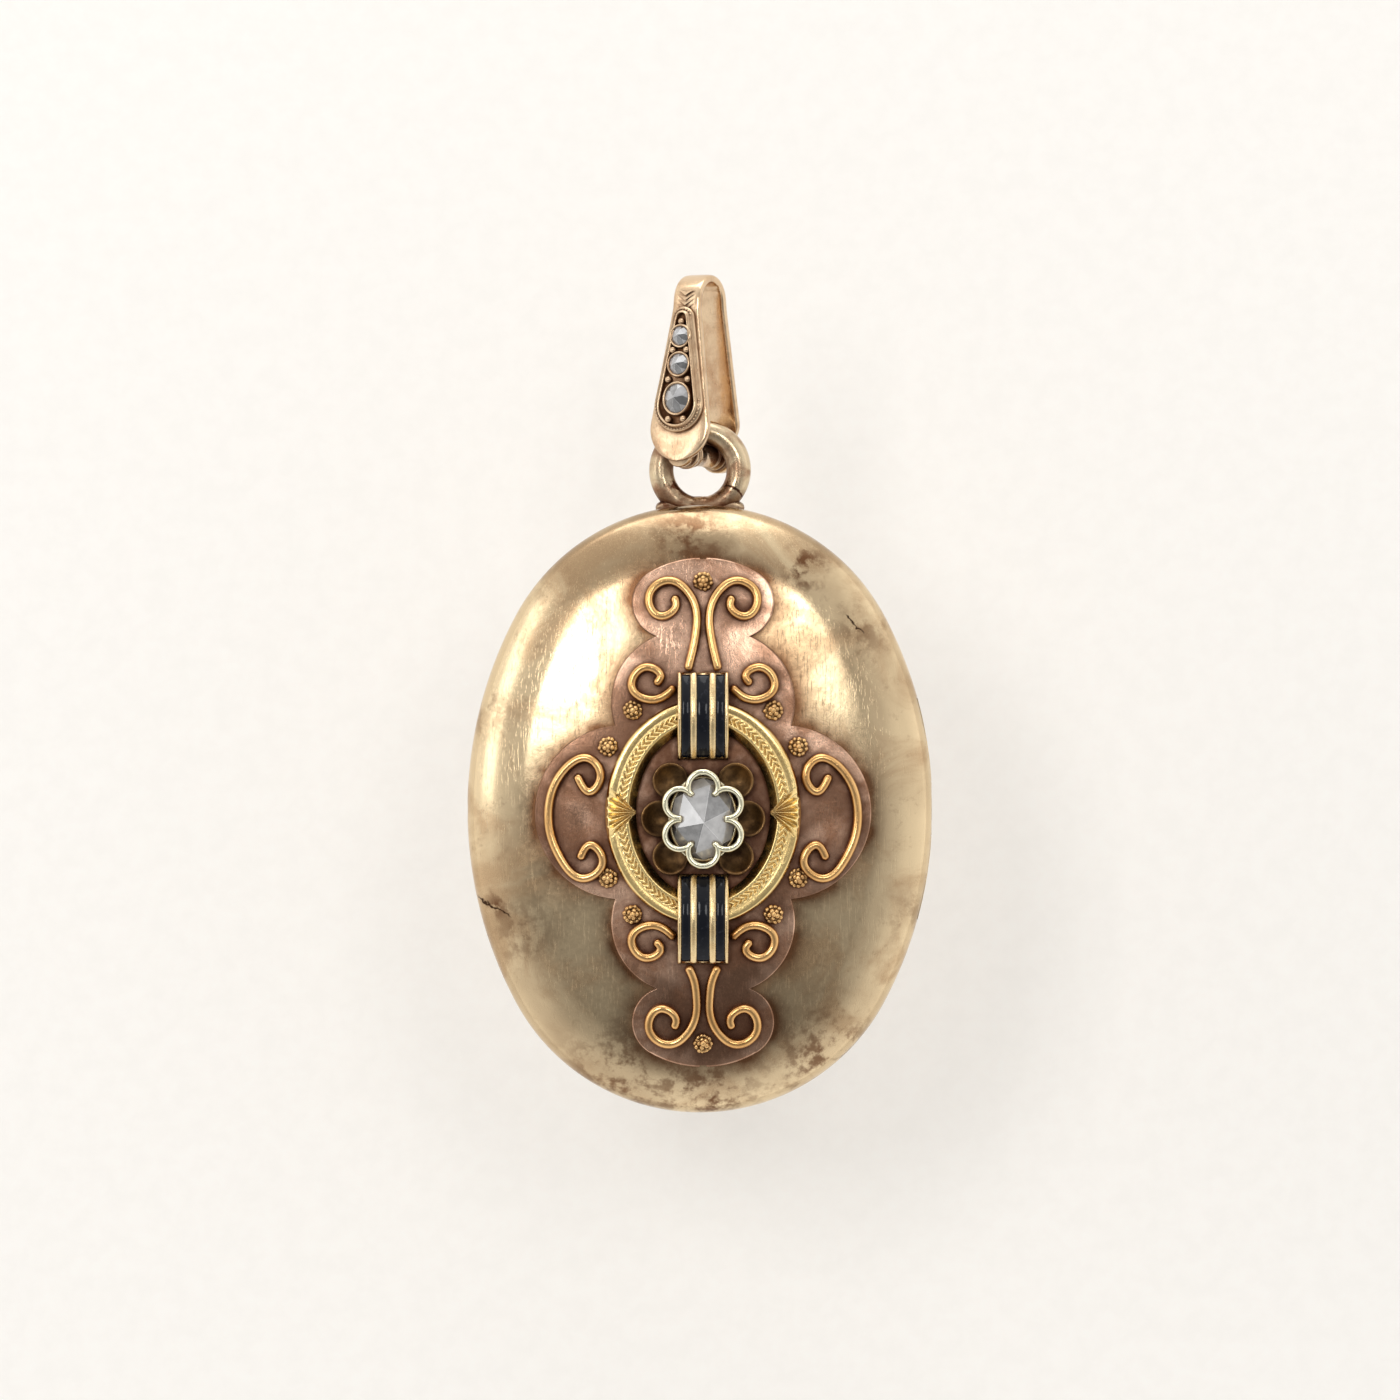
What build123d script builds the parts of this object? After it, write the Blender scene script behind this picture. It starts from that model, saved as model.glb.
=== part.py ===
from build123d import *
import math
import os

# Oval picture locket with a jewelled bail, millimetres.
# Everything is drawn on a bench frame: X to the wearer's left, Y up the case, Z out of the front,
# with the seam between the two halves at Z = 0 and the middle of the oval at X = Y = 0.
# place() then stands it up: Z up, front towards -Y, origin at the centre of the bail's saddle.

# ---- the case: a four-centre oval and one section swept round it
HALF_W, HALF_H = 15.13, 19.76      # half width and half height of the oval
R_END = 13.6                       # radius of the top and bottom arcs
GAUGE = 0.45                       # sheet thickness of both shells
FRONT_WALL, BACK_WALL = 0.8, 1.6   # straight part of the wall on each half
SEAM = 0.03                        # gap between the closed halves
SHOULDER = ((1.5, 90.0), (8.0, 36.0), (52.2, 10.0))   # radius of each arc, slope where it starts
DOME_TOP = 4.213                   # height of the front dome above the seam

# ---- hinge: three flush knuckles on one pin along the right-hand edge
AXIS_X = HALF_W - 1.0
KNUCKLE_R, KNUCKLE_CLEAR = 0.95, 1.01
PIN_R, PIN_FIT = 0.35, 0.03
MID_KNUCKLE, END_KNUCKLE = 1.72, 7.2   # half length of the middle one, outer end of the others
PIN_END = 5.3
RELIEF_FRONT, RELIEF_BACK = 1.2, 1.35  # the walls stop short of the hinge by this much

# ---- ornament, measured from its own centre
ORN_X, ORN_Y = 0.2, -0.2
PLATE_T = 0.35
RING_T = 0.8
WIRE_W, WIRE_H = 0.52, 0.65
BAR_W, BAR_T, BAR_R = 3.3, 0.45, 4.1
STRIPES = ((0.0, 0.78), (-1.115, 0.55), (1.115, 0.55))   # middle and width of each enamel stripe
ENAMEL_T = 0.2

# ---- suspension ring and bail
RING_R, RING_TUBE, RING_Y, RING_Z = 2.525, 0.775, 22.07, -0.82
SLEEVE_WAIST, SLEEVE_RIB, SLEEVE_FLANGE, SLEEVE_HALF = 0.75, 0.84, 0.96, 1.95
PIN_Y = RING_Y + RING_R - RING_TUBE - SLEEVE_WAIST - 0.02   # the ring hangs on the sleeve
BAIL_PIN_R, BAIL_FIT = 0.4, 0.04
SADDLE_Y = PIN_Y + 9.9
SADDLE_R, BAIL_T = 1.3, 0.55
LUG_IN, LUG_OUT = 2.0, 2.95
FRONT_LUG_R, BACK_LUG_R = 0.85, 1.15
LEAF_LOW, FRONT_LOW = -9.3, -10.35  # the front leaf reaches down over the end of the rivet
BAIL_TURN = 30.0                   # the bail stands turned on the ring, its front leaf to the left


def oval_centres():
    """Centre height of the end arcs, centre offset and radius of the side arcs, angle of the joins."""
    end_y = HALF_H - R_END
    r_side = (HALF_W ** 2 + end_y ** 2 - R_END ** 2) / (2 * (HALF_W - R_END))
    off = r_side - HALF_W
    return end_y, off, r_side, math.degrees(math.atan2(end_y, off))


END_Y, SIDE_OFF, R_SIDE, JOIN = oval_centres()


def polar(cx, cy, r, deg):
    return (cx + r * math.cos(math.radians(deg)), cy + r * math.sin(math.radians(deg)))


def oval(inset):
    """The case outline moved inwards, as a face at Z = 0."""
    arcs = []
    for cx, cy, r, a, b in ((0, END_Y, R_END, JOIN, 180 - JOIN), (SIDE_OFF, 0, R_SIDE, 180 - JOIN, 180 + JOIN),
                            (0, -END_Y, R_END, 180 + JOIN, 360 - JOIN), (-SIDE_OFF, 0, R_SIDE, -JOIN, JOIN)):
        arcs.append(ThreePointArc(*(polar(cx, cy, r - inset, t) for t in (a, (a + b) / 2, b))))
    return make_face(Curve() + arcs)


def slab(inset, z0, z1):
    return extrude(Pos(0, 0, z0) * oval(inset), z1 - z0)


def dome(raise_by, wall, base=0.0):
    """One half of the case filled in solid, its surface moved outwards by raise_by."""
    cd, ch, curve = SHOULDER[0][0], wall, []
    for i, (r, start) in enumerate(SHOULDER):
        stop = SHOULDER[i + 1][1] if i + 1 < len(SHOULDER) else 0.0
        if i:
            step = SHOULDER[i - 1][0] - r
            cd, ch = cd - step * math.sin(math.radians(start)), ch + step * math.cos(math.radians(start))
        rr = r + raise_by
        curve.append([(cd - rr * math.sin(math.radians(a)), ch + rr * math.cos(math.radians(a)))
                      for a in (start, (start + stop) / 2, stop)])
    top = curve[-1][2]

    def section(radius):
        flip = [[(radius - d, h) for d, h in arc] for arc in curve]
        first, last = flip[0][0], flip[-1][2]
        return make_face(Curve() + [Line((radius + raise_by, base), first)]
                         + [ThreePointArc(*arc) for arc in flip]
                         + [Line(last, (last[0], base)), Line((last[0], base), (radius + raise_by, base))])

    solid = None
    for cx, cy, r, a, b in ((0, END_Y, R_END, JOIN, 180 - JOIN), (SIDE_OFF, 0, R_SIDE, 180 - JOIN, 180 + JOIN),
                            (0, -END_Y, R_END, 180 + JOIN, 360 - JOIN), (-SIDE_OFF, 0, R_SIDE, -JOIN, JOIN)):
        ca, sa = math.cos(math.radians(a)), math.sin(math.radians(a))
        plane = Plane(origin=(cx, cy, 0), x_dir=(ca, sa, 0), z_dir=(sa, -ca, 0))
        sector = revolve(plane * section(r), axis=Axis((cx, cy, 0), (0, 0, 1)), revolution_arc=b - a)
        solid = sector if solid is None else solid + sector
    return solid + extrude(Pos(0, 0, base) * oval(top[0]), top[1] - base)


def back(solid):
    return mirror(solid, about=Plane.XY)


def box(x0, x1, y0, y1, z0, z1):
    return Pos((x0 + x1) / 2, (y0 + y1) / 2, (z0 + z1) / 2) * Box(x1 - x0, y1 - y0, z1 - z0)


def rod(r, a, b):
    """A cylinder of radius r from point a to point b."""
    a, b = Vector(*a), Vector(*b)
    return Plane(origin=a, z_dir=b - a) * Cylinder(r, (b - a).length, align=(Align.CENTER, Align.CENTER, Align.MIN))


def place(solid):
    return Rot(90, 0, 0) * (Pos(0, -SADDLE_Y, -RING_Z) * solid)


def save(name, solid):
    solid = place(solid)
    solid.label = name
    export_step(solid, f"parts/{name}.step")


os.makedirs("parts", exist_ok=True)

front_solid, front_void = dome(0, FRONT_WALL, SEAM), dome(-GAUGE, FRONT_WALL)
back_solid, back_void = back(dome(0, BACK_WALL)), back(dome(-GAUGE, BACK_WALL))

# ---- hinge tubes, and the room each half leaves for the other one
hinge_zone = box(AXIS_X - 1.15, HALF_W + 1, -END_KNUCKLE - 0.15, END_KNUCKLE + 0.15, -4, 4)


def tube(y0, y1, radius=KNUCKLE_R):
    return rod(radius, (AXIS_X, y0, 0), (AXIS_X, y1, 0))


relief_front = box(AXIS_X, HALF_W + 1, -END_KNUCKLE - 0.05, END_KNUCKLE + 0.05, -0.1, RELIEF_FRONT)
relief_back = box(AXIS_X, HALF_W + 1, -END_KNUCKLE - 0.05, END_KNUCKLE + 0.05, -RELIEF_BACK, 0.1)
clear_all = tube(-END_KNUCKLE - 0.05, END_KNUCKLE + 0.05, KNUCKLE_CLEAR)


def web(y0, y1, side, relief):
    """The bridge from a knuckle down to the inside of its own shell."""
    near, far = sorted((side * 0.4, side * (relief + 0.05))), sorted((side * relief, side * 3.3))
    return (box(AXIS_X - 0.9, AXIS_X + 0.35, y0, y1, *near) + box(AXIS_X - 0.9, HALF_W + 1, y0, y1, *far))


front_shell = front_solid - front_void - relief_front - clear_all
nick = Pos(-HALF_W - 0.55, 0, 0.35) * Sphere(0.95)
front_shell -= nick
front_shell = front_shell.solids().sort_by(SortBy.VOLUME)[-1]
front_knuckle = tube(-MID_KNUCKLE, MID_KNUCKLE) + (web(-MID_KNUCKLE, MID_KNUCKLE, 1, RELIEF_FRONT) & front_void)
front_knuckle -= tube(-MID_KNUCKLE - 1, MID_KNUCKLE + 1, PIN_R + PIN_FIT)

back_shell = back_solid - back_void - relief_back - clear_all
back_shell = back_shell.solids().sort_by(SortBy.VOLUME)[-1]
outline = slab(0, -4, 4)
back_knuckles = []
for s in (1, -1):
    y0, y1 = sorted((s * (MID_KNUCKLE + 0.06), s * END_KNUCKLE))
    body = tube(y0, y1) + (web(y0, y1, -1, RELIEF_BACK) & back_void)
    body = (body & outline) - rod(PIN_R, (AXIS_X, 0, 0), (AXIS_X, s * PIN_END, 0))
    back_knuckles.append(body.solids().sort_by(SortBy.VOLUME)[-1])
hinge_pin = tube(-PIN_END, PIN_END, PIN_R)

save("front_shell", front_shell)
save("back_shell", back_shell)
save("hinge_knuckle_front", front_knuckle)
save("hinge_knuckles_back", Compound(back_knuckles))
save("hinge_pin", hinge_pin)

# ---- inside: a snap rim, and on each half a tray with card, glass and frame
rim = (slab(0.45, -1.4, 0) - slab(0.85, -2, 1)) + (slab(0.5, -0.2, 0.7) - slab(0.85, -2, 1))
save("snap_rim", rim - hinge_zone)

front_tray = (((slab(0.4, 0.85, 1.1) & front_void) - slab(2.45, 0, 4)) + (slab(2.2, 0.85, 2.2) - slab(2.45, 0, 2.0)))
back_tray = (slab(0.85, -0.8, -0.5) - slab(2.45, -4, 0)) + (slab(2.2, -2.15, -0.5) - slab(2.45, -1.9, 0))
save("front_tray", front_tray - hinge_zone)
save("back_tray", back_tray - hinge_zone)
for half, card, glass, frame in (("front", (1.75, 2.0), (1.35, 1.75), (0.85, 1.35)),
                                 ("back", (-1.9, -1.65), (-1.65, -1.25), (-1.25, -0.35))):
    save(f"{half}_card", slab(2.5, *card))
    save(f"{half}_glass", slab(2.5, *glass))
    save(f"{half}_frame", slab(2.5, *frame) - slab(3.7, frame[0] - 1, frame[1] + 1))

# ---- suspension ring, on a foot soldered to the top of the back shell
foot = (slab(-0.65, RING_Z - 0.72, RING_Z + 0.72) - slab(0, -3, 3)) & box(-2.95, 2.95, 15, 22, -2, 0)
eye = Pos(0, RING_Y, RING_Z) * Torus(RING_R, RING_TUBE)
save("suspension_ring", (eye + foot) - slab(0, -3, 3))

# ---- ornament: base plate, engraved ring, enamel bars
orn = Pos(ORN_X, ORN_Y, 0)
skin = dome(PLATE_T, FRONT_WALL)
plate_arcs = []
for sx, sy in ((1, 1), (1, -1), (-1, -1), (-1, 1)):
    arcs = [((3.4, 15.6), (4.6, 13.8), (3.03, 11.4)), ((3.03, 11.4), (4.6, 10.37), (5.7, 5.6))]
    plate_arcs += [ThreePointArc(*[(sx * x, sy * y) for x, y in arc]) for arc in arcs]
for s in (1, -1):
    plate_arcs.append(ThreePointArc((-3.4, s * 15.6), (0, s * 16.5), (3.4, s * 15.6)))
    plate_arcs.append(ThreePointArc((s * 5.7, 5.6), (s * 10.9, 0), (s * 5.7, -5.6)))
plate_face = make_face(Wire.combine([e.edge() for e in plate_arcs])[0].edges())
base_plate = (orn * extrude(plate_face, 8) & skin) - front_solid
save("base_plate", base_plate.solids().sort_by(SortBy.VOLUME)[-1])

ring_band = extrude(Ellipse(6.33, 7.3), 8) - extrude(Ellipse(4.33, 5.4), 8)
ring = (orn * ring_band) & dome(PLATE_T + RING_T, FRONT_WALL)
bevel = loft([Pos(0, 0, 4.4) * Ellipse(4.2, 5.27), Pos(0, 0, 5.6) * Ellipse(5.05, 6.12)])
ring = ring - skin - orn * bevel
save("engraved_ring", ring)


def plate_top(x, y):
    """Height of the plate's surface over a point given from the ornament's centre."""
    x, y = abs(x + ORN_X), abs(y + ORN_Y)
    if y * SIDE_OFF > END_Y * (x + SIDE_OFF):
        d = R_END - math.hypot(x, y - END_Y)
    else:
        d = R_SIDE - math.hypot(x + SIDE_OFF, y)
    cd, ch, height = SHOULDER[0][0], FRONT_WALL, None
    for i, (r, start) in enumerate(SHOULDER):
        if i:
            step = SHOULDER[i - 1][0] - r
            cd, ch = cd - step * math.sin(math.radians(start)), ch + step * math.cos(math.radians(start))
        if height is None or d > cd - r * math.sin(math.radians(start)):
            height = ch + math.sqrt(max(0.0, (r + PLATE_T) ** 2 - min(0.0, d - cd) ** 2))
    return height


ARCH_Z = DOME_TOP + 1.3 - BAR_R   # height of the centre that the bars are bent round


def arch_face(r0, r1, mid, reach):
    """Side view of a band bent between radii r0 and r1, reach to either side of mid."""
    ends = []
    for r in (r0, r1):
        z = ARCH_Z + math.sqrt(r ** 2 - reach ** 2)
        ends.append(((mid - reach, z), (mid, ARCH_Z + r), (mid + reach, z)))
    inner, outer = ends
    return make_face(Curve() + [ThreePointArc(*inner), Line(inner[2], outer[2]),
                                ThreePointArc(*outer[::-1]), Line(outer[0], inner[0])])


def across(face, x0, x1):
    return orn * extrude(Plane.YZ.offset(x0) * face, x1 - x0)


for name, low, high in (("top", 3.43, 9.06), ("bottom", -9.77, -3.98)):
    mid, half = (low + high) / 2, (high - low) / 2
    rise = plate_top(0, high) - plate_top(0, low)
    below = (Pos(low, plate_top(0, low)) * Rot(0, 0, math.degrees(math.atan2(rise, high - low)))
             * Rectangle(20, 4, align=(Align.CENTER, Align.MAX)))
    bar = across(arch_face(BAR_R, BAR_R + BAR_T, mid, half) - below, -BAR_W / 2, BAR_W / 2)
    stripes = []
    for c, w in STRIPES:
        reach, pit = half - 0.22, BAR_R + BAR_T - ENAMEL_T
        bar -= across(arch_face(pit, BAR_R + BAR_T + 1, mid, reach), c - w / 2, c + w / 2)
        stripes.append(across(arch_face(pit, BAR_R + BAR_T, mid, reach), c - w / 2, c + w / 2))
    save(f"enamel_bar_{name}", bar)
    save(f"enamel_{name}", Compound([s.solid() for s in stripes]))

# ---- gallery, collet and the stone, a little below the ornament's centre
stone_at = orn * Pos(0, -0.4, 0)
deck = DOME_TOP + PLATE_T
cups = Pos(0, 0, deck) * extrude(Circle(2.3), 0.28)
for x, y in ((2.85, 0), (-2.85, 0), (2.1, 2.45), (-2.1, 2.45), (2.1, -2.45), (-2.1, -2.45)):
    cups += Pos(x, y, deck) * extrude(Circle(1.18), 0.7)
    cups -= Pos(x, y, deck + 1.15) * Sphere(1.0)
cups -= Pos(0, 0, deck + 0.28) * extrude(Ellipse(2.3, 2.85), 1)
save("gallery_cups", stone_at * cups - skin)

PETALS = ((0, 2.08), (0, -2.08), (1.5, 1.0), (1.5, -1.0), (-1.5, 1.0), (-1.5, -1.0))


def rose_cut(a, b, z0, girdle, mid, top, sides, apex=(0.0, 0.0), table=0.62):
    """A rose-cut stone: flat underneath, a thin girdle, two tiers of facets to one point."""
    n = 2 * sides

    def ring_pts(fa, fb, z, count, turn):
        return [(fa * math.cos(2 * math.pi * (k + turn) / count), fb * math.sin(2 * math.pi * (k + turn) / count), z)
                for k in range(count)]

    low, high = ring_pts(a, b, z0, n, 0), ring_pts(a, b, z0 + girdle, n, 0)
    tier = ring_pts(table * a, table * b, mid, sides, 0.25)
    tip = (apex[0], apex[1], top)
    faces = [low[::-1]]
    for k in range(n):
        faces.append([low[k], low[(k + 1) % n], high[(k + 1) % n], high[k]])
    for k in range(sides):
        here, nxt = tier[k], tier[(k + 1) % sides]
        faces.append([high[2 * k], high[2 * k + 1], here])
        faces.append([high[2 * k + 1], high[(2 * k + 2) % n], nxt])
        faces.append([high[2 * k + 1], nxt, here])
        faces.append([here, nxt, tip])
    return Solid(Shell([Face(Wire.make_polygon([Vector(*p) for p in f])) for f in faces]))


stone = rose_cut(1.93, 2.48, 5.35, 0.22, 6.05, 7.15, 6, (0.05, -0.25), 0.86)
collet_outer = extrude(Ellipse(2.0, 2.55), 8)
collet_inner = extrude(Ellipse(1.6, 2.2), 8)
for x, y in PETALS:
    collet_outer += Pos(x, y) * extrude(Circle(1.15), 8)
    collet_inner += Pos(x, y) * extrude(Circle(0.77), 8)
crown = (collet_outer - collet_inner) & box(-4, 4, -4, 4, 5.35, 6.45)
tube_wall = extrude(Pos(0, 0, deck + 0.28) * Ellipse(2.3, 2.85), 0.62) - extrude(Ellipse(1.5, 2.0), 8)
seat = extrude(Pos(0, 0, 5.35) * Ellipse(1.96, 2.51), 0.3)
save("collet", stone_at * (crown + tube_wall - seat - stone))
save("center_stone", stone_at * stone)

# ---- ten granulated florets
floret_at = [(0, 14.95), (0, -14.95)] + [(sx * x, sy * y) for x, y in ((4.55, 6.6), (6.15, 4.25))
                                         for sx in (1, -1) for sy in (1, -1)]
bead = extrude(Circle(0.6), 0.3) + Pos(0, 0, 0.28) * Sphere(0.25)
for k in range(6):
    bead += Pos(*polar(0, 0, 0.42, 60 * k), 0.2) * Sphere(0.24)
florets = []
for x, y in floret_at:
    bottom = plate_top(x, y)
    low = orn * (Pos(x, y, bottom - 0.12) * bead)
    florets.append((low - skin).solids().sort_by(SortBy.VOLUME)[-1])
save("florets", Compound(florets))

# ---- ten scrolls of rectangular wire standing on the plate
SCROLLS = {
    "scroll": [(0.70, 10.8), (0.57, 12.0), (0.62, 13.0), (0.95, 14.2), (2.2, 15.0),
               (3.5, 13.95), (2.75, 12.7), (1.75, 13.4), (1.95, 14.05)],
    "curl": [(1.8, 8.15), (3.2, 7.3), (4.6, 8.1), (3.6, 9.4), (2.75, 8.8), (3.15, 8.25)],
    "c_scroll": [(8.2, 2.5), (7.3, 1.35), (6.65, 2.25), (7.45, 3.5), (9.1, 2.6), (9.95, 0.6), (9.95, -1.0),
                 (9.2, -3.0), (7.7, -4.25), (6.5, -3.05), (7.3, -2.1), (8.0, -3.1)],
}
wire_top = dome(PLATE_T + WIRE_H, FRONT_WALL)


def wire(points, sx, sy):
    ribbon = trace(Spline(*[(sx * x, sy * y) for x, y in points]), WIRE_W)
    strip = (orn * extrude(ribbon, 9)) & wire_top
    return (strip - skin).solids().sort_by(SortBy.VOLUME)[-1]


for vert, sy, foot_y in (("top", 1, 9.15), ("bottom", -1, 9.9)):
    for side, sx in (("right", 1), ("left", -1)):
        save(f"scroll_{vert}_{side}", wire([(1.0, foot_y)] + SCROLLS["scroll"], sx, sy))
        save(f"curl_{vert}_{side}", wire(SCROLLS["curl"], sx, sy))
for side, sx in (("right", 1), ("left", -1)):
    save(f"c_scroll_{side}", wire(SCROLLS["c_scroll"], sx, 1))

# ---- bail: one strap bent over the saddle, a wide jewelled leaf in front and a narrow one behind
bail_at = Pos(0, SADDLE_Y, RING_Z) * Rot(0, -BAIL_TURN, 0)
lean = math.degrees(math.atan2(LUG_OUT - BAIL_T - SADDLE_R, -LEAF_LOW))   # each leaf leans out by this


def strap(radius, low):
    """Side view of the strap out to radius at the saddle, filled in, extruded across."""
    c, s = math.cos(math.radians(lean)), math.sin(math.radians(lean))
    foot_z = radius * c + (-low - radius * s) * math.tan(math.radians(lean))
    right, left = (radius * c, radius * s), (-radius * c, radius * s)
    face = make_face(Curve() + [ThreePointArc(left, (0, radius), right), Line(right, (foot_z, low)),
                                Line((foot_z, low), (-foot_z, low)), Line((-foot_z, low), left)])
    return extrude(Plane.YZ.offset(-4) * Rot(0, 0, -90) * mirror(face, about=Plane.YZ), 8)


def leaf_outline(top_half, low_r, low_y, z0, z1):
    """Front view of a leaf: parallel over the saddle, then spreading to a round end, extruded through."""
    ends = make_hull([*(Pos(0, low_y) * Circle(low_r)).edges(),
                      *(Pos(0, -0.4) * Rectangle(2 * top_half, 0.1)).edges()])
    return extrude(Pos(0, 0, z0) * make_face(ends.edges()), z1 - z0) + box(-top_half, top_half, -0.4, 3, z0, z1)


lug_y = PIN_Y - SADDLE_Y
front_leaf = leaf_outline(1.0, 2.2, FRONT_LOW + 2.2, 0, 5)
back_leaf = leaf_outline(1.0, 1.5, LEAF_LOW + 1.5, -5, 0)
side_view = strap(SADDLE_R + BAIL_T, -11) - strap(SADDLE_R, -12)
loop = (side_view & front_leaf) + (side_view & back_leaf)
for s, lug_r in ((1, FRONT_LUG_R), (-1, BACK_LUG_R)):
    lug = rod(lug_r, (0, lug_y, s * LUG_IN), (0, lug_y, s * LUG_OUT))
    neck = box(-0.9, 0.9, lug_y, LEAF_LOW + 0.6, min(s * 2.3, s * LUG_OUT), max(s * 2.3, s * LUG_OUT))
    loop += lug + neck
rivet_end = LUG_OUT - 0.1
loop -= rod(BAIL_PIN_R, (0, lug_y, -5), (0, lug_y, rivet_end))
save("bail_loop", bail_at * loop)

rivet = rod(BAIL_PIN_R, (0, lug_y, -LUG_OUT - 0.1), (0, lug_y, rivet_end))
rivet += rod(0.6, (0, lug_y, -LUG_OUT - 0.22), (0, lug_y, -LUG_OUT))
save("bail_pin", bail_at * rivet)

sleeve = rod(SLEEVE_WAIST, (0, lug_y, -SLEEVE_HALF), (0, lug_y, SLEEVE_HALF))
for radius, z0, z1 in ((SLEEVE_RIB, 0.92, 1.4), (SLEEVE_FLANGE, 1.55, SLEEVE_HALF)):
    for s in (1, -1):
        sleeve += rod(radius, (0, lug_y, s * z0), (0, lug_y, s * z1))
sleeve -= rod(BAIL_PIN_R + BAIL_FIT, (0, lug_y, -3), (0, lug_y, 3))
save("bail_sleeve", bail_at * sleeve)

# the raised channel on the front leaf, its three rose-cut stones and the grains between them
leaf_plane = bail_at * Rot(-lean, 0, 0) * Pos(0, 0, SADDLE_R + BAIL_T)
seats = ((-2.5, 0.66, 0.66), (-4.35, 0.72, 0.72), (-6.6, 0.9, 1.0))
channel = make_hull([*Circle(1.75).moved(Location((0, LEAF_LOW + 2.3, 0))).edges(),
                     *Circle(0.75).moved(Location((0, -1.3, 0))).edges()])
bezel = extrude(make_face(channel.edges()), 0.3)
inner = make_hull([*Circle(1.45).moved(Location((0, LEAF_LOW + 2.3, 0))).edges(),
                   *Circle(0.45).moved(Location((0, -1.3, 0))).edges()])
bezel += extrude(make_face(inner.edges()), 0.5)
stones, grains = {}, []
for name, (y, a, b) in zip(("small", "medium", "large"), seats):
    gem = Pos(0, y, 0) * rose_cut(a, b, 0.2, 0.18, 0.68, 0.9, 6)
    bezel -= Pos(0, y, 0.2) * extrude(Ellipse(a + 0.01, b + 0.01), 2)
    stones[name] = gem
for y, gap in ((-1.55, 0.0), (-3.42, 0.5), (-5.35, 0.72), (-7.95, 0.55)):
    for sx in ((1, -1) if gap else (0,)):
        grains.append(Pos(sx * gap, y, 0.5) * Sphere(0.17))
        bezel -= Pos(sx * gap, y, 0.5) * Sphere(0.17)
save("bail_bezel", leaf_plane * bezel)
save("bail_grains", Compound([(leaf_plane * g).solid() for g in grains]))
for name, gem in stones.items():
    save(f"bail_stone_{name}", leaf_plane * gem)
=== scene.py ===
import cmath
import math
import random

import bmesh
import bpy
import numpy as np
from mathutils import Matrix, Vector

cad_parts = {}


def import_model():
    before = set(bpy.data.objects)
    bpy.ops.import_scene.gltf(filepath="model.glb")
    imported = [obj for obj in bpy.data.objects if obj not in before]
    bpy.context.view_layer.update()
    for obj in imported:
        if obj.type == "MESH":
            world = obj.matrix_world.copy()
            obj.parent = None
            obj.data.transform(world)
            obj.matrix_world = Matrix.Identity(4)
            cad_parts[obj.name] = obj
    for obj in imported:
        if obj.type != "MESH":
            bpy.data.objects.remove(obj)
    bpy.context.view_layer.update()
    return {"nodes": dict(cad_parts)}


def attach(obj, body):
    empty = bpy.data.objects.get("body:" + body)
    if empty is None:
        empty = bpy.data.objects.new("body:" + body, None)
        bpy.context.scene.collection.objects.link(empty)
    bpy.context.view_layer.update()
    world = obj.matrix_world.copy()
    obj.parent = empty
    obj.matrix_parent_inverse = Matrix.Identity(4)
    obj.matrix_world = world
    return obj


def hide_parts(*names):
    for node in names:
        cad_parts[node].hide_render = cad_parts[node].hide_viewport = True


# Oval picture locket. Shapes are drawn in millimetres on the bench: X right, Y up the case, Z out of the
# front, seam at Z = 0. to_row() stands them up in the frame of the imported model.

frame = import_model()
nodes = frame["nodes"]

SADDLE_Y, RING_Z = 32.95, -0.82
HALF_W, HALF_H, R_END = 15.13, 19.76, 13.6
END_Y = HALF_H - R_END
R_SIDE = (HALF_W ** 2 + END_Y ** 2 - R_END ** 2) / (2 * (HALF_W - R_END))
SIDE_OFF = R_SIDE - HALF_W
JOIN = math.atan2(END_Y, SIDE_OFF)
FRONT_WALL, BACK_WALL, GAUGE, SEAM = 0.8, 1.6, 0.45, 0.03
ARCS = ((1.5, 90.0), (8.0, 36.0), (52.2, 10.0))  # the dome's section: radius, angle where it starts
DOME_TOP = 4.213  # height of the front shell at its middle
ORN_X, ORN_Y = 0.2, -0.2
PLATE_T = 0.35
HINGE_HALF = 7.25
RELIEF = {1: 1.2, -1: 1.35}  # height up to which the hinge seat is cut away, front and back
PIN_Y, RING_Y = 23.05, 22.07
BAIL_TURN = math.radians(30)  # the bail stands turned on the ring, its front leaf to the left
random.seed(7)


# ------------ shapes shared by the pieces
def to_row(points):
    p = np.asarray(points, float).reshape(-1, 3)
    return np.stack([p[:, 0], RING_Z - p[:, 2], p[:, 1] - SADDLE_Y], axis=1) / 1000.0


def full_turn(n):
    return np.linspace(0, 2 * math.pi, n, endpoint=False)


def arc_centres(wall):
    """The dome's arcs, as (radius, inset of the centre, height of the centre, start angle)."""
    cd, ch, out = ARCS[0][0], wall, []
    for i, (r, start) in enumerate(ARCS):
        if i:
            step = ARCS[i - 1][0] - r
            cd += -step * math.sin(math.radians(start))
            ch += step * math.cos(math.radians(start))
        out.append((r, cd, ch, start))
    return out


def inset(x, y):
    """Distance inwards from the case outline."""
    ax, ay = np.abs(x), np.abs(y)
    ends = R_END - np.hypot(ax, ay - END_Y)
    sides = R_SIDE - np.hypot(ax + SIDE_OFF, ay)
    return np.where(ay * SIDE_OFF > END_Y * (ax + SIDE_OFF), ends, sides)


def height(d, wall, lift):
    """Height of the domed surface at inset d, moved outwards by lift."""
    d = np.asarray(d, float)
    z = np.zeros_like(d)
    for r, cd, ch, start in arc_centres(wall):
        rr = r + lift
        reach = cd - rr * math.sin(math.radians(start))
        here = ch + np.sqrt(np.maximum(rr ** 2 - (cd - np.minimum(d, cd)) ** 2, 0.0))
        z = np.where(d >= reach, here, z)
    return z


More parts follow.
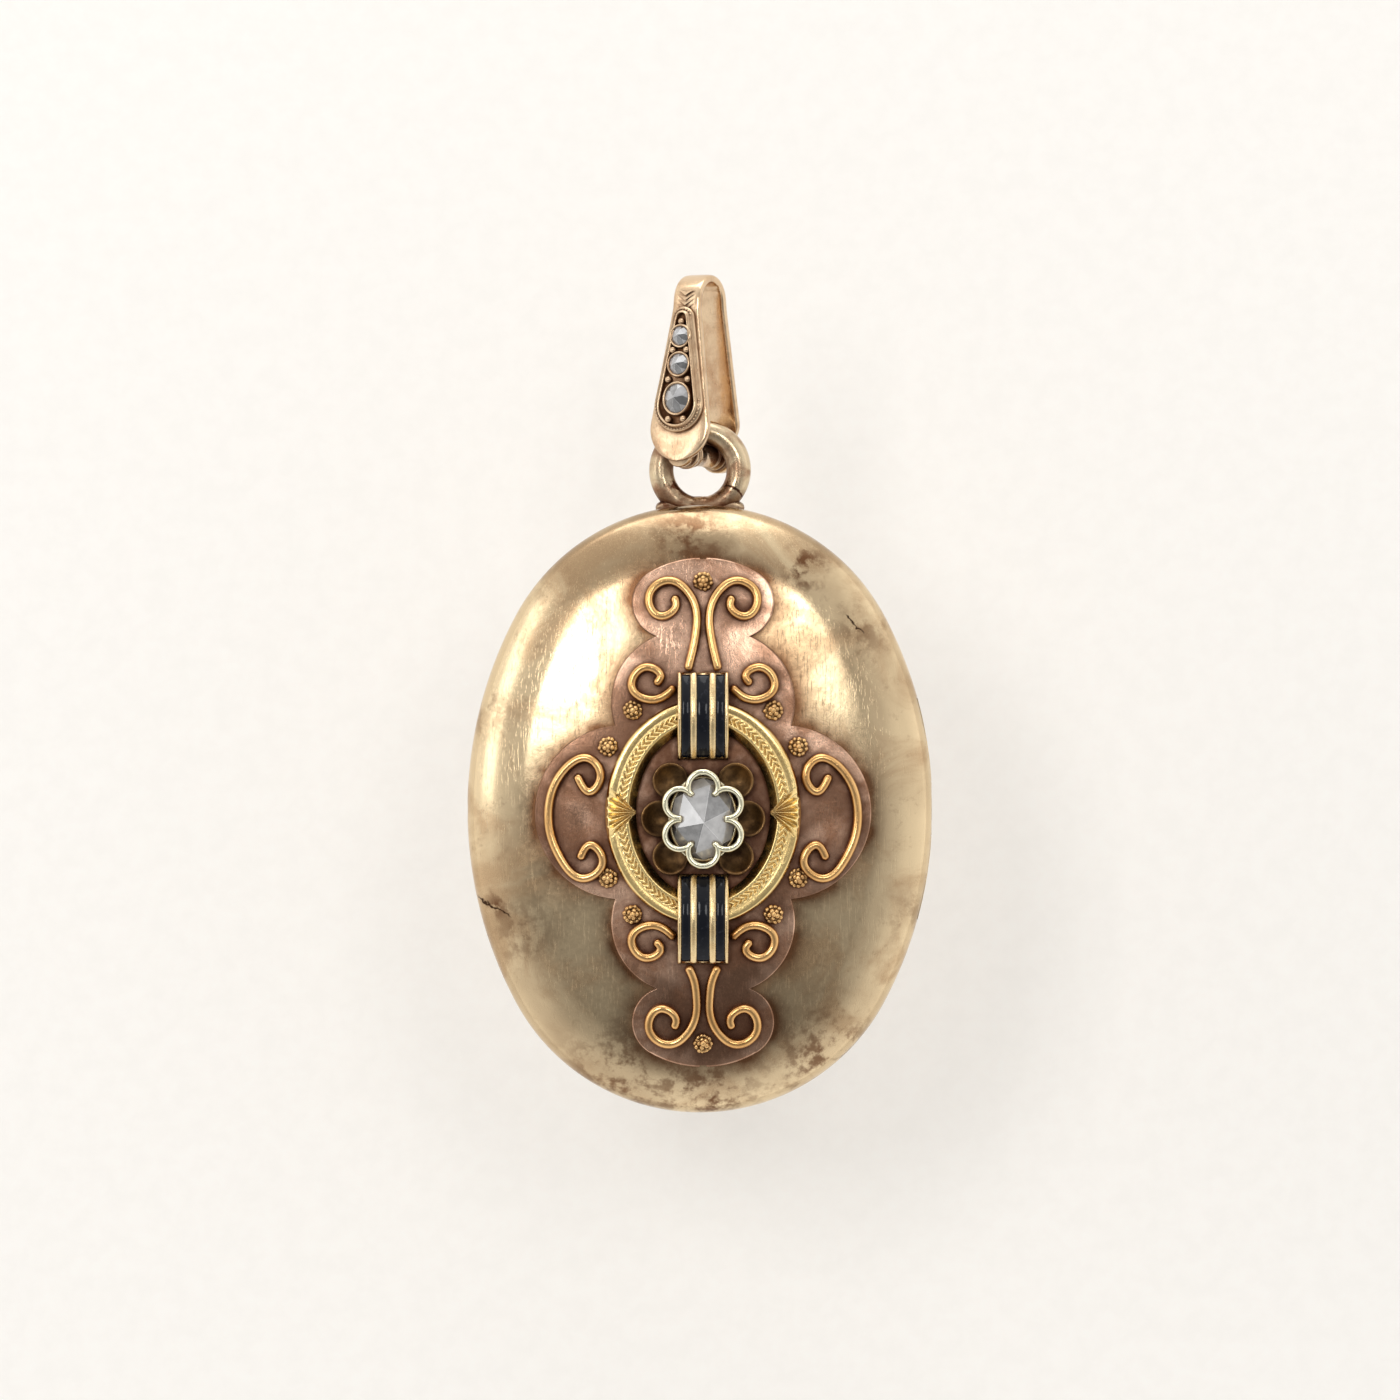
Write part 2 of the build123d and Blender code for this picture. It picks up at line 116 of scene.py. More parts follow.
def plate_top(x, y):
    """Height of the base plate's upper face."""
    return height(inset(x, y), FRONT_WALL, PLATE_T)


def on_plate(x, y, lift=0.0):
    """A point above the ornament's base plate, from the ornament's own centre."""
    x, y = np.asarray(x) + ORN_X, np.asarray(y) + ORN_Y
    return np.stack([x, y, plate_top(x, y) + lift], axis=-1)


def turned(points):
    """Turns the bail's points about the upright line through the saddle."""
    p = np.array(points, float).reshape(-1, 3)
    c, s, out = math.cos(BAIL_TURN), math.sin(BAIL_TURN), p[:, 2] - RING_Z
    return np.column_stack([p[:, 0] * c - out * s, p[:, 1], RING_Z + p[:, 0] * s + out * c])


def build(name, verts, faces, material, body, node, smooth=True):
    """Makes one piece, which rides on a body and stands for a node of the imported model."""
    if body.startswith("bail"):
        verts = turned(verts)
    me = bpy.data.meshes.new(name)
    me.from_pydata([tuple(v) for v in to_row(verts)], [], [tuple(int(i) for i in f) for f in faces])
    me.materials.append(material)
    me.polygons.foreach_set("use_smooth", [smooth] * len(me.polygons))
    me.validate()
    shape = bmesh.new()
    shape.from_mesh(me)
    bmesh.ops.remove_doubles(shape, verts=shape.verts, dist=1e-7)
    bmesh.ops.recalc_face_normals(shape, faces=shape.faces)
    shape.to_mesh(me)
    shape.free()
    obj = bpy.data.objects.new(name, me)
    bpy.context.collection.objects.link(obj)
    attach(obj, body)
    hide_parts(node)
    return obj


class Soup:
    """Collects grids and solids into one mesh."""

    def __init__(self):
        self.verts, self.faces, self.count = [], [], 0

    def add(self, verts, faces):
        verts = np.asarray(verts, float).reshape(-1, 3)
        self.verts.append(verts)
        self.faces += [[i + self.count for i in f] for f in faces]
        self.count += len(verts)

    def grid(self, points, wrap_u=False, wrap_v=False, flip=False):
        n, m = points.shape[:2]
        faces = []
        for i in range(n if wrap_u else n - 1):
            for j in range(m if wrap_v else m - 1):
                a, b = i * m + j, ((i + 1) % n) * m + j
                c, d = ((i + 1) % n) * m + (j + 1) % m, i * m + (j + 1) % m
                faces.append([a, d, c, b] if flip else [a, b, c, d])
        self.add(points, faces)

    def fan(self, loop, centre, flip=False):
        n = len(loop)
        faces = [[n, (i + 1) % n, i] if flip else [n, i, (i + 1) % n] for i in range(n)]
        self.add(np.vstack([loop, [centre]]), faces)

    def ball(self, centre, radius, n, squash=1.0):
        t, p = np.meshgrid(np.linspace(0, math.pi, n), full_turn(2 * n), indexing="ij")
        pts = np.stack([np.sin(t) * np.cos(p), np.sin(t) * np.sin(p), squash * np.cos(t)], -1) * radius
        self.grid(pts + np.asarray(centre), wrap_v=True)

    def tube(self, a, b, radius, profile, n):
        """A turned piece from a to b: profile holds (share of the length, share of the radius)."""
        a, b = np.asarray(a, float), np.asarray(b, float)
        axis = (b - a) / np.linalg.norm(b - a)
        side = np.cross(axis, [0.0, 1.0, 0.0] if abs(axis[1]) < 0.9 else [1.0, 0.0, 0.0])
        side /= np.linalg.norm(side)
        other = np.cross(axis, side)
        ph = full_turn(n)
        ring = np.cos(ph)[:, None] * side + np.sin(ph)[:, None] * other
        rows = [a + (b - a) * s + ring * radius * r for s, r in profile]
        self.grid(np.stack(rows), wrap_v=True)
        self.fan(rows[0], a + (b - a) * profile[0][0], flip=True)
        self.fan(rows[-1], a + (b - a) * profile[-1][0])

    def make(self, name, material, body, slot, node):
        return build(name, np.vstack(self.verts), self.faces, material, body, node)


STEPS_PER_MM = 9


def spline(points):
    """The natural cubic curve through the points, evenly stepped."""
    p = np.asarray(points, float)
    t = np.concatenate([[0], np.cumsum(np.linalg.norm(np.diff(p, axis=0), axis=1))])
    n, h = len(p), np.diff(t)
    system, right = np.eye(n), np.zeros((n, 2))
    for i in range(1, n - 1):
        system[i, i - 1:i + 2] = h[i - 1], 2 * (h[i - 1] + h[i]), h[i]
        right[i] = 6 * ((p[i + 1] - p[i]) / h[i] - (p[i] - p[i - 1]) / h[i - 1])
    bend = np.linalg.solve(system, right)
    out = []
    for u in np.linspace(0, t[-1], int(t[-1] * STEPS_PER_MM)):
        i = min(int(np.searchsorted(t, u, side="right")) - 1, n - 2)
        a, b, w = t[i + 1] - u, u - t[i], h[i]
        out.append((bend[i] * a ** 3 + bend[i + 1] * b ** 3) / (6 * w)
                   + (p[i] / w - bend[i] * w / 6) * a + (p[i + 1] / w - bend[i + 1] * w / 6) * b)
    return np.array(out)


def wire_section(width, tall):
    """Upright wire: straight sides and a rounded top, as (across, up) pairs."""
    r = width / 2
    top = [(r * math.cos(t), tall - r + r * math.sin(t)) for t in np.linspace(0, math.pi, 9)]
    return np.array([(r, -0.1), (r, 0.12 * tall)] + top + [(-r, 0.12 * tall), (-r, -0.1)])


def lay_wire(soup, path, section, base, taper):
    """Sweeps a section along a path, standing it on base(x, y); its ends round off over taper."""
    steps = np.gradient(path, axis=0)
    steps /= np.linalg.norm(steps, axis=1)[:, None]
    across = np.stack([steps[:, 1], -steps[:, 0]], 1)
    run = np.concatenate([[0], np.cumsum(np.linalg.norm(np.diff(path, axis=0), axis=1))])
    end = np.minimum(run, run[-1] - run)
    shape = np.sqrt(np.clip(1 - (1 - np.clip(end / taper, 0, 1)) ** 2, 0.02, 1))
    rows = []
    for p, n, k in zip(path, across, shape):
        xy = p + section[:, :1] * n * k
        z = base(p[0], p[1]) + section[:, 1] * np.where(section[:, 1] > 0, 0.55 + 0.45 * k, 1)
        rows.append(np.column_stack([xy, z]))
    rows = np.stack(rows)
    soup.grid(rows, wrap_v=True)
    soup.fan(rows[0], rows[0].mean(0), flip=True)
    soup.fan(rows[-1], rows[-1].mean(0))


# ------------ materials
class Nodes:
    """Short names for the nodes of one material, or of the world."""

    def __init__(self, name, group=bpy.data.materials, shader="Principled BSDF"):
        self.owner = group.new(name)
        self.owner.use_nodes = True
        self.tree = self.owner.node_tree
        self.shader = self.tree.nodes[shader]
        self.places = self.new("TexCoord").outputs
        self.coord = self.places["Object"]
        self.facing = self.places["Normal"]  # the direction of the face in the object's own frame

    def new(self, kind, **inputs):
        """A new node, with some of its inputs given a value or fed by another node's output."""
        node = self.tree.nodes.new("ShaderNode" + kind)
        for key, value in inputs.items():
            self.put(node.inputs[key], value)
        return node

    def link(self, a, b):
        self.tree.links.new(a, b)

    def put(self, socket, value):
        if isinstance(value, bpy.types.NodeSocket):
            self.link(value, socket)
        else:
            socket.default_value = value

    def feed(self, key, value):
        """Gives an input of the shader a value, or feeds it from another node."""
        self.put(self.shader.inputs[key], value)

    def mapped(self, scale, turn=0.0, shift=(0, 0, 0)):
        """The object's coordinates scaled, turned about Y by so many degrees, and shifted."""
        node = self.new("Mapping", Vector=self.coord, Location=shift, Scale=scale,
                        Rotation=(0, math.radians(turn), 0))
        return node.outputs["Vector"]

    def noise(self, size_mm, detail=4.0, rough=0.55, vector=None, distortion=0.0):
        node = self.new("TexNoise", Vector=vector or self.coord, Scale=1000.0 / size_mm, Detail=detail,
                        Roughness=rough, Distortion=distortion)
        return node.outputs["Fac"]

    def ramp(self, value, low, high, start=0.0, stop=1.0):
        node = self.new("MapRange", Value=value)
        node.interpolation_type = "SMOOTHSTEP"
        for key, v in (("From Min", low), ("From Max", high), ("To Min", start), ("To Max", stop)):
            self.put(node.inputs[key], v)
        return node.outputs["Result"]

    def maths(self, op, a, b=0.0, clamp=False):
        node = self.new("Math")
        node.operation = op
        node.use_clamp = clamp
        self.put(node.inputs[0], a)
        self.put(node.inputs[1], b)
        return node.outputs[0]

    def times(self, a, b, clamp=False):
        return self.maths("MULTIPLY", a, b, clamp)

    def plus(self, a, b, clamp=False):
        return self.maths("ADD", a, b, clamp)

    def vector_maths(self, op, a, b=(0, 0, 0)):
        node = self.new("VectorMath")
        node.operation = op
        self.link(a, node.inputs[0])
        self.put(node.inputs[1], b)
        return node.outputs["Value"]

    def dot(self, a, b):
        return self.vector_maths("DOT_PRODUCT", a, b)

    def mix(self, factor, a, b):
        node = self.new("Mix")
        node.data_type = "RGBA"
        self.put(node.inputs["Factor"], factor)
        for key, v in (("A", a), ("B", b)):
            socket = [s for s in node.inputs if s.name == key and s.type == "RGBA"][0]
            self.put(socket, v if isinstance(v, bpy.types.NodeSocket) else (*v, 1.0))
        return [s for s in node.outputs if s.type == "RGBA"][0]

    def corners(self, reach_mm, power):
        """1 in tight corners, 0 in the open."""
        node = self.new("AmbientOcclusion", Distance=reach_mm / 1000.0)
        node.samples = 6
        return self.maths("POWER", self.maths("SUBTRACT", 1.0, node.outputs["AO"], clamp=True), power)

    def near(self, x, y, reach_mm):
        """1 at a point of the case (bench X and Y), fading to 0 at reach_mm."""
        place = self.mapped((1, 0, 1), shift=(-x / 1000, 0, -(y - SADDLE_Y) / 1000))
        return self.ramp(self.vector_maths("LENGTH", place), 0.0, reach_mm / 1000, 1.0, 0.0)

    def crack(self, start, end, width_mm):
        """1 along a fine wavering line between two points of the case (bench X and Y)."""
        a, b = (Vector((p[0] / 1000, 0, (p[1] - SADDLE_Y) / 1000)) for p in (start, end))
        length, waver = (b - a).length, 0.3 / 1000
        along = (b - a) / length
        across = Vector((-along.z, 0, along.x))
        u = self.maths("SUBTRACT", self.dot(self.coord, along), a.dot(along))
        v = self.maths("SUBTRACT", self.dot(self.coord, across), a.dot(across))
        wave = self.ramp(self.noise(1.1, 3.0), 0.2, 0.8, -waver, waver)
        off = self.maths("ABSOLUTE", self.plus(v, wave))
        middle = self.maths("ABSOLUTE", self.maths("SUBTRACT", u, length / 2))
        thin = self.ramp(off, 0.3 * width_mm / 1000, width_mm / 1000, 1.0, 0.0)
        return self.times(thin, self.ramp(middle, 0.35 * length, 0.5 * length, 1.0, 0.0))

    def scratches(self, size_mm, turn, amount):
        """Fine straight strokes: noise drawn out along one direction."""
        vector = self.mapped((1.0, 1.0, 0.05), turn)
        return self.ramp(self.noise(size_mm, 2.0, 0.5, vector), amount, amount + 0.05)

    def bump(self, value, strength, depth_mm, normal=None):
        node = self.new("Bump", Strength=strength, Distance=depth_mm / 1000.0, Height=value)
        if normal:
            self.link(normal, node.inputs["Normal"])
        return node.outputs["Normal"]

    def round_edges(self, radius_mm):
        node = self.new("Bevel", Radius=radius_mm / 1000.0)
        node.samples = 4
        return node.outputs["Normal"]

    def facet_edges(self, radius_mm):
        """0 on the flat, rising towards the edges between facets."""
        flat = self.new("NewGeometry").outputs["True Normal"]
        return self.vector_maths("DISTANCE", self.round_edges(radius_mm), flat)

    def attribute(self, name):
        node = self.new("Attribute")
        node.attribute_name = name
        return node.outputs["Fac"]


def gold(name, light, deep, grime_and_shade, rough, stain, corner, grain, scratch, power=0.8, broad=None, halo=0.0,
         marks=(), sides=0.0, cracks=(), edges=None):
    """Worn gold: two alloy tones in clouds, brown soiling and painted shade in the corners, fine scratches
    and grain.

    stain, corner, grain and broad are (strength, size in mm); marks are (x, y, reach, strength) and cracks
    (start, end, width), on the bench in mm; sides paints shade on what faces sideways; edges rounds them, in
    mm."""
    n = Nodes(name)
    cloud = n.ramp(n.noise(stain[1], 5.0, 0.6, distortion=0.6), 0.42, 0.66)
    speck = n.ramp(n.noise(stain[1] / 6, 4.0, 0.7), 0.56, 0.75)
    tone = n.mix(n.times(cloud, stain[0]), light, deep)
    tone = n.mix(n.times(speck, stain[0] * 0.3), tone, grime_and_shade)
    if broad:
        wide = n.ramp(n.noise(broad[1], 3.0, 0.55, distortion=0.8), 0.40, 0.62)
        tone = n.mix(n.times(wide, broad[0]), tone, [0.62 * c for c in deep])
    # Painted shade with brown soiling: a band on the case round the plate's foot.
    if halo:
        ring = n.times(n.attribute("halo"), n.ramp(n.noise(3.5, 4.0), 0.30, 0.65, 0.35, 1.0))
        tone = n.mix(n.times(ring, halo, True), tone, grime_and_shade)
    if marks:
        blots = n.ramp(n.noise(1.3, 4.0, 0.65), 0.44, 0.62)
        for x, y, reach, strength in marks:
            tone = n.mix(n.times(n.times(n.near(x, y, reach), blots), strength), tone, grime_and_shade)
    # Painted shade: faces turned away from the front are darkened.
    if sides:
        upright = n.ramp(n.dot(n.facing, (0, -1, 0)), 0.15, 0.85, 1.0, 0.0)
        tone = n.mix(n.times(upright, sides), tone, grime_and_shade)
    for start, end, width in cracks:
        tone = n.mix(n.crack(start, end, width), tone, [0.3 * c for c in grime_and_shade])
    # Brown soiling and painted shade: ambient occlusion darkens the corners and hollows.
    corner_grime_and_shade = n.times(n.corners(corner[1], power), n.ramp(n.noise(0.9, 3.0), 0.25, 0.6, 0.6, 1.0))
    corner_grime_and_shade = n.times(corner_grime_and_shade, corner[0], True)
    n.feed("Base Color", n.mix(corner_grime_and_shade, tone, grime_and_shade))
    n.feed("Metallic", 1.0)
    lines = n.maths("MAXIMUM", n.scratches(0.11, 28, 0.63), n.scratches(0.13, -52, 0.64))
    lines = n.maths("MAXIMUM", lines, n.scratches(0.09, 71, 0.65))
    grains = n.noise(grain[1], 3.0, 0.6)
    dull = n.plus(n.ramp(grains, 0.3, 0.7, rough * 0.8, rough * 1.25), n.times(cloud, stain[0] * 0.12))
    dull = n.plus(dull, n.times(corner_grime_and_shade, 0.3))
    n.feed("Roughness", n.plus(dull, n.times(lines, 0.10 * scratch), True))
    normal = n.round_edges(edges) if edges else None
    normal = n.bump(grains, grain[0], 0.02, normal)
    normal = n.bump(n.noise(4.5, 2.0), 0.35, 0.06, normal)
    n.feed("Normal", n.bump(lines, 0.5 * scratch, -0.008, normal))
    return n.owner


def case_material(name, **wear):
    """Pale warm gold, brushed by wear, with brown stains near the rim."""
    return gold(name, (0.76, 0.595, 0.375), (0.50, 0.335, 0.19), (0.17, 0.08, 0.038), rough=0.15,
                stain=(0.85, 5.0), corner=(0.85, 1.3), grain=(0.12, 0.28), scratch=0.6, broad=(0.6, 17.0),
                **wear)


def stone_material(name, dark, light, edge_mm):
    """Grey rose-cut stone: each facet is painted its own grey by the way it faces, a painted reflection, and
    the edges between them are whiter.
    """
    n = Nodes(name)
    # Painted reflection: each facet's grey comes from the direction it faces.
    facet = n.plus(n.times(n.maths("SINE", n.dot(n.facing, (7.0, 2.0, 9.0))), 0.5), 0.5)
    smoke = n.ramp(n.noise(0.7, 4.0), 0.3, 0.7, -0.1, 0.25)
    body = n.mix(n.plus(n.times(facet, 0.75), smoke, True), dark, light)
    edge = n.ramp(n.facet_edges(edge_mm), 0.03, 0.2)
    n.feed("Base Color", n.mix(n.times(edge, 0.55), body, (0.86, 0.86, 0.88)))
    n.feed("Roughness", n.ramp(edge, 0.0, 1.0, 0.05, 0.3))
    n.feed("IOR", 2.0)
    n.feed("Specular IOR Level", 0.8)
    n.feed("Normal", n.bump(n.noise(0.9, 3.0), 0.12, 0.02))
    return n.owner


def enamel_material():
    n = Nodes("black enamel")
    pits = n.ramp(n.noise(0.35, 3.0), 0.55, 0.75)
    n.feed("Base Color", n.mix(pits, (0.004, 0.005, 0.009), (0.02, 0.022, 0.03)))
    n.feed("Roughness", n.ramp(pits, 0.0, 1.0, 0.06, 0.2))
    n.feed("Specular IOR Level", 0.3)
    n.feed("Normal", n.bump(n.noise(0.5, 2.0), 0.5, 0.03, n.round_edges(0.05)))
    return n.owner


def card_material():
    n = Nodes("plain card")
    foxing = n.times(n.ramp(n.noise(5.0, 4.0), 0.5, 0.75), 0.5)
    n.feed("Base Color", n.mix(foxing, (0.72, 0.64, 0.50), (0.50, 0.38, 0.24)))
    n.feed("Roughness", 0.9)
    n.feed("Normal", n.bump(n.noise(0.25, 5.0, 0.7), 0.3, 0.03))
    return n.owner


def glass_material():
    """Thin old picture glass: mostly clear, with a gloss and a faint smear."""
    n = Nodes("picture glass")
    n.feed("Base Color", (0.80, 0.84, 0.82, 1.0))
    n.feed("Roughness", n.ramp(n.ramp(n.noise(6.0, 3.0), 0.4, 0.8), 0.0, 1.0, 0.02, 0.09))
    n.feed("Alpha", 0.14)
    n.feed("IOR", 1.5)
    return n.owner


FRONT_STAINS = ((-0.7, 17.5, 4.0, 1.0), (6.8, 15.6, 2.4, 1.3), (-4.9, -17.4, 6.0, 0.9),
                (8.1, -16.2, 6.0, 0.9), (-13.6, 6.4, 3.0, 0.5), (-11.5, -8.0, 3.5, 0.6),
                (10.5, 11.5, 3.0, 0.6), (0.5, -18.6, 5.0, 1.0), (13.6, -7.0, 3.0, 0.4),
                (-13.2, -6.3, 1.3, 1.0), (-9.5, 14.2, 2.6, 0.4))
FRONT_CRACKS = (((-14.6, -5.6), (-12.1, -7.0), 0.10), ((9.3, 12.6), (10.6, 11.2), 0.07))
BACK_STAINS = ((-3.0, 17.0, 5.0, 0.7), (7.5, -15.5, 6.0, 0.6), (-12.0, 4.0, 4.0, 0.4))
RING_STAINS = ((0.0, 19.9, 3.0, 1.6), (-2.0, 20.6, 2.4, 1.4), (2.2, 20.0, 2.0, 1.2))
# halo: the brown band round the plate's foot, soiling and painted shade
CASE = case_material("case gold", halo=1.3, marks=FRONT_STAINS, cracks=FRONT_CRACKS)
BACK = case_material("back gold", marks=BACK_STAINS)
PLATE = gold("rose plate", (0.86, 0.56, 0.40), (0.36, 0.185, 0.11), (0.07, 0.028, 0.016), rough=0.17,
             stain=(1.0, 3.5), corner=(1.5, 1.8), grain=(0.3, 0.22), scratch=0.7, power=0.7, broad=(0.9, 8.0))
BRIGHT = gold("engraved gold", (0.92, 0.70, 0.32), (0.78, 0.53, 0.20), (0.24, 0.11, 0.025), rough=0.17,
              stain=(0.35, 7.0), corner=(0.85, 0.35), grain=(0.2, 0.2), scratch=0.3)
LINES = gold("enamel mount gold", (0.88, 0.68, 0.38), (0.72, 0.48, 0.22), (0.22, 0.10, 0.03), rough=0.2,
             stain=(0.5, 0.8), corner=(0.7, 0.2), grain=(0.7, 0.08), scratch=0.2)
WIRE = gold("scroll gold", (0.88, 0.53, 0.22), (0.55, 0.27, 0.08), (0.22, 0.075, 0.014), rough=0.14,
            stain=(0.5, 3.0), corner=(1.9, 0.9), grain=(0.3, 0.18), scratch=0.4, power=0.6, sides=0.85)
FLORET = gold("floret gold", (0.84, 0.53, 0.23), (0.52, 0.27, 0.10), (0.12, 0.05, 0.015), rough=0.24,
              stain=(0.6, 1.5), corner=(1.4, 0.4), grain=(0.7, 0.1), scratch=0.2, power=0.6)
PALE = gold("pale gold", (0.88, 0.85, 0.64), (0.70, 0.62, 0.40), (0.30, 0.18, 0.06), rough=0.13,
            stain=(0.3, 3.0), corner=(0.9, 0.5), grain=(0.18, 0.2), scratch=0.5, sides=0.6)
LOOP = gold("ring gold", (0.70, 0.56, 0.37), (0.34, 0.19, 0.11), (0.12, 0.045, 0.022), rough=0.18,
            stain=(1.0, 2.4), corner=(1.6, 1.6), grain=(0.3, 0.2), scratch=0.7, power=0.65,
            marks=RING_STAINS, cracks=(((1.5, 21.1), (3.1, 20.1), 0.12),))
DARK = gold("cup bronze", (0.34, 0.19, 0.08), (0.12, 0.06, 0.028), (0.012, 0.006, 0.003), rough=0.2,
            stain=(0.9, 1.8), corner=(1.4, 1.6), grain=(0.4, 0.15), scratch=0.2, power=0.55)
BAIL = gold("bail gold", (0.78, 0.58, 0.38), (0.50, 0.31, 0.18), (0.15, 0.065, 0.028), rough=0.15,
            stain=(0.8, 3.0), corner=(1.6, 0.9), grain=(0.22, 0.2), scratch=0.5, power=0.65)
INNER = gold("inner gold", (0.82, 0.65, 0.38), (0.66, 0.48, 0.24), (0.2, 0.1, 0.04), rough=0.26,
             stain=(0.35, 7.0), corner=(0.6, 0.8), grain=(0.06, 0.4), scratch=0.3, edges=0.06)
HINGE = gold("hinge gold", (0.70, 0.54, 0.33), (0.50, 0.35, 0.18), (0.12, 0.06, 0.025), rough=0.26,
             stain=(0.5, 7.0), corner=(0.9, 0.5), grain=(0.25, 0.2), scratch=0.6, edges=0.05)
STONE = stone_material("rose cut stone", (0.07, 0.07, 0.072), (0.44, 0.435, 0.44), 0.05)
ICE = stone_material("bail stones", (0.08, 0.08, 0.082), (0.40, 0.40, 0.415), 0.03)
ENAMEL, CARD, GLASS = enamel_material(), card_material(), glass_material()


# ------------ case
ARC_STEPS, CAP_ANGLE, CAP_RINGS = (16, 14, 18), 1.1, 60
NICK, NICK_R = (-HALF_W - 0.55, 0.0, 0.35), 0.95  # a hollow for the nail in the left edge
HAIR = 1e-4
HALO_MM = 0.75


def profile(wall, lift, base, edge):
    """Points (inset, height) up one side of the case section, from the seam to where the cap begins."""
    pts = [(edge - lift, base), (0.3 * edge - lift, base + 0.3 * edge), (-lift, base + edge)]
    pts += [(-lift, base + edge + (wall - base - edge) * t) for t in np.linspace(0.2, 1, 5)]
    arcs = arc_centres(wall)
    for i, (r, cd, ch, start) in enumerate(arcs):
        stop = arcs[i + 1][3] if i + 1 < len(arcs) else CAP_ANGLE
        for a in np.radians(np.linspace(start, stop, ARC_STEPS[i])[1:]):
            pts.append((cd - (r + lift) * math.sin(a), ch + (r + lift) * math.cos(a)))
    return pts


def stations():
    """Places round the outline, as (centre x, centre y, radius, angle, inside the hinge seat)."""
    seat = math.asin(HINGE_HALF / R_SIDE)
    ends = [s * seat + d for s in (-1, 1) for d in (-HAIR, HAIR)]
    side = sorted(list(np.linspace(-JOIN, JOIN, 120, endpoint=False)) + ends)
    out = [(-SIDE_OFF, 0, R_SIDE, a, abs(a) < seat) for a in side]
    for cx, cy, r, start, stop, count in ((0, END_Y, R_END, JOIN, math.pi - JOIN, 150),
                                          (SIDE_OFF, 0, R_SIDE, math.pi - JOIN, math.pi + JOIN, 120),
                                          (0, -END_Y, R_END, math.pi + JOIN, 2 * math.pi - JOIN, 150)):
        out += [(cx, cy, r, a, False) for a in np.linspace(start, stop, count, endpoint=False)]
    return out


def shell_skin(side, lift, edge):
    wall, base = (FRONT_WALL, SEAM) if side > 0 else (BACK_WALL, 0.0)
    pts = profile(wall, lift, base, edge)
    relief = RELIEF[side]
    at_relief = min(pts, key=lambda p: abs(p[1] - relief) + (0 if p[1] >= relief else 1))
    rows = []
    for cx, cy, r, a, seat in stations():
        row = []
        for d, h in pts:
            if seat and h < relief:
                d, h = at_relief[0], relief
            row.append((cx + (r - d) * math.cos(a), cy + (r - d) * math.sin(a), side * h))
        rows.append(row)
    rows = np.array(rows)
    if side > 0:
        away = rows - NICK
        gap = np.linalg.norm(away, axis=2, keepdims=True)
        rows = np.where(gap < NICK_R, NICK + away / gap * NICK_R, rows)
    cap = []
    for k in range(1, CAP_RINGS):
        xy = rows[:, -1, :2] * (1 - k / CAP_RINGS)
        z = side * height(inset(xy[:, 0], xy[:, 1]), wall, lift)
        cap.append(np.column_stack([xy, z]))
    return np.concatenate([rows, np.stack(cap, axis=1)], axis=1)


def case_shell(side, name, material, body):
    soup = Soup()
    outer, inner = shell_skin(side, 0.0, 0.07), shell_skin(side, -GAUGE, 0.0)
    soup.grid(outer, wrap_u=True, flip=side < 0)
    soup.grid(inner, wrap_u=True, flip=side > 0)
    soup.grid(np.stack([inner[:, 0], outer[:, 0]], axis=1), wrap_u=True, flip=side < 0)
    for surface, flip in ((outer, side < 0), (inner, side > 0)):
        soup.fan(surface[:, -1], surface[:, -1].mean(0), flip)
    return soup.make(f"{name}_sheet", material, body, "case_gold", name)


def arc_through(a, b, c, n):
    """Points of the circle arc from a through b to c."""
    start, via, stop = (complex(*point) for point in (a, b, c))
    w = (stop - start) / (via - start)
    centre = start + (via - start) * (w - abs(w) ** 2) / (2j * w.imag)
    r = abs(start - centre)
    t0, t1, t2 = (cmath.phase(point - centre) for point in (start, via, stop))
    turn = (t2 - t0) % (2 * math.pi)
    if (t1 - t0) % (2 * math.pi) > turn:
        turn -= 2 * math.pi
    angles = [t0 + turn * k / n for k in range(n + 1)]
    return [(centre.real + r * math.cos(t), centre.imag + r * math.sin(t)) for t in angles]


def plate_side():
    """The right-hand half of the plate's outline, from top to bottom."""
    right = [(0.0, 16.5)]
    for via, stop, n in (((1.8, 16.27), (3.4, 15.6), 16), ((4.6, 13.8), (3.03, 11.4), 26),
                         ((4.6, 10.37), (5.7, 5.6), 36), ((9.3, 3.92), (10.9, 0.0), 40)):
        right += arc_through(right[-1], via, stop, n)[1:]
    right += [(x, -y) for x, y in right[-2::-1]]
    return np.array(right[1:-1])


def plate_foot_grime_and_shade(obj):
    """Stores how near each point of the case is to the plate's edge, for the brown band round it of soiling
    and painted shade.
    """
    co = np.zeros(3 * len(obj.data.vertices))
    obj.data.vertices.foreach_get("co", co)
    x, y = co[0::3] * 1000 - ORN_X, co[2::3] * 1000 + SADDLE_Y - ORN_Y
    gap = np.full(len(x), 9.0)
    for px, py in plate_side():
        gap = np.minimum(gap, np.hypot(np.abs(x) - px, y - py))
    near = np.where(co[1::3] * 1000 < RING_Z, np.exp(-(gap / HALO_MM) ** 1.3), 0.0)
    obj.data.attributes.new("halo", "FLOAT", "POINT").data.foreach_set("value", near)


plate_foot_grime_and_shade(case_shell(1, "front_shell", CASE, "cover"))
case_shell(-1, "back_shell", BACK, "case_back")


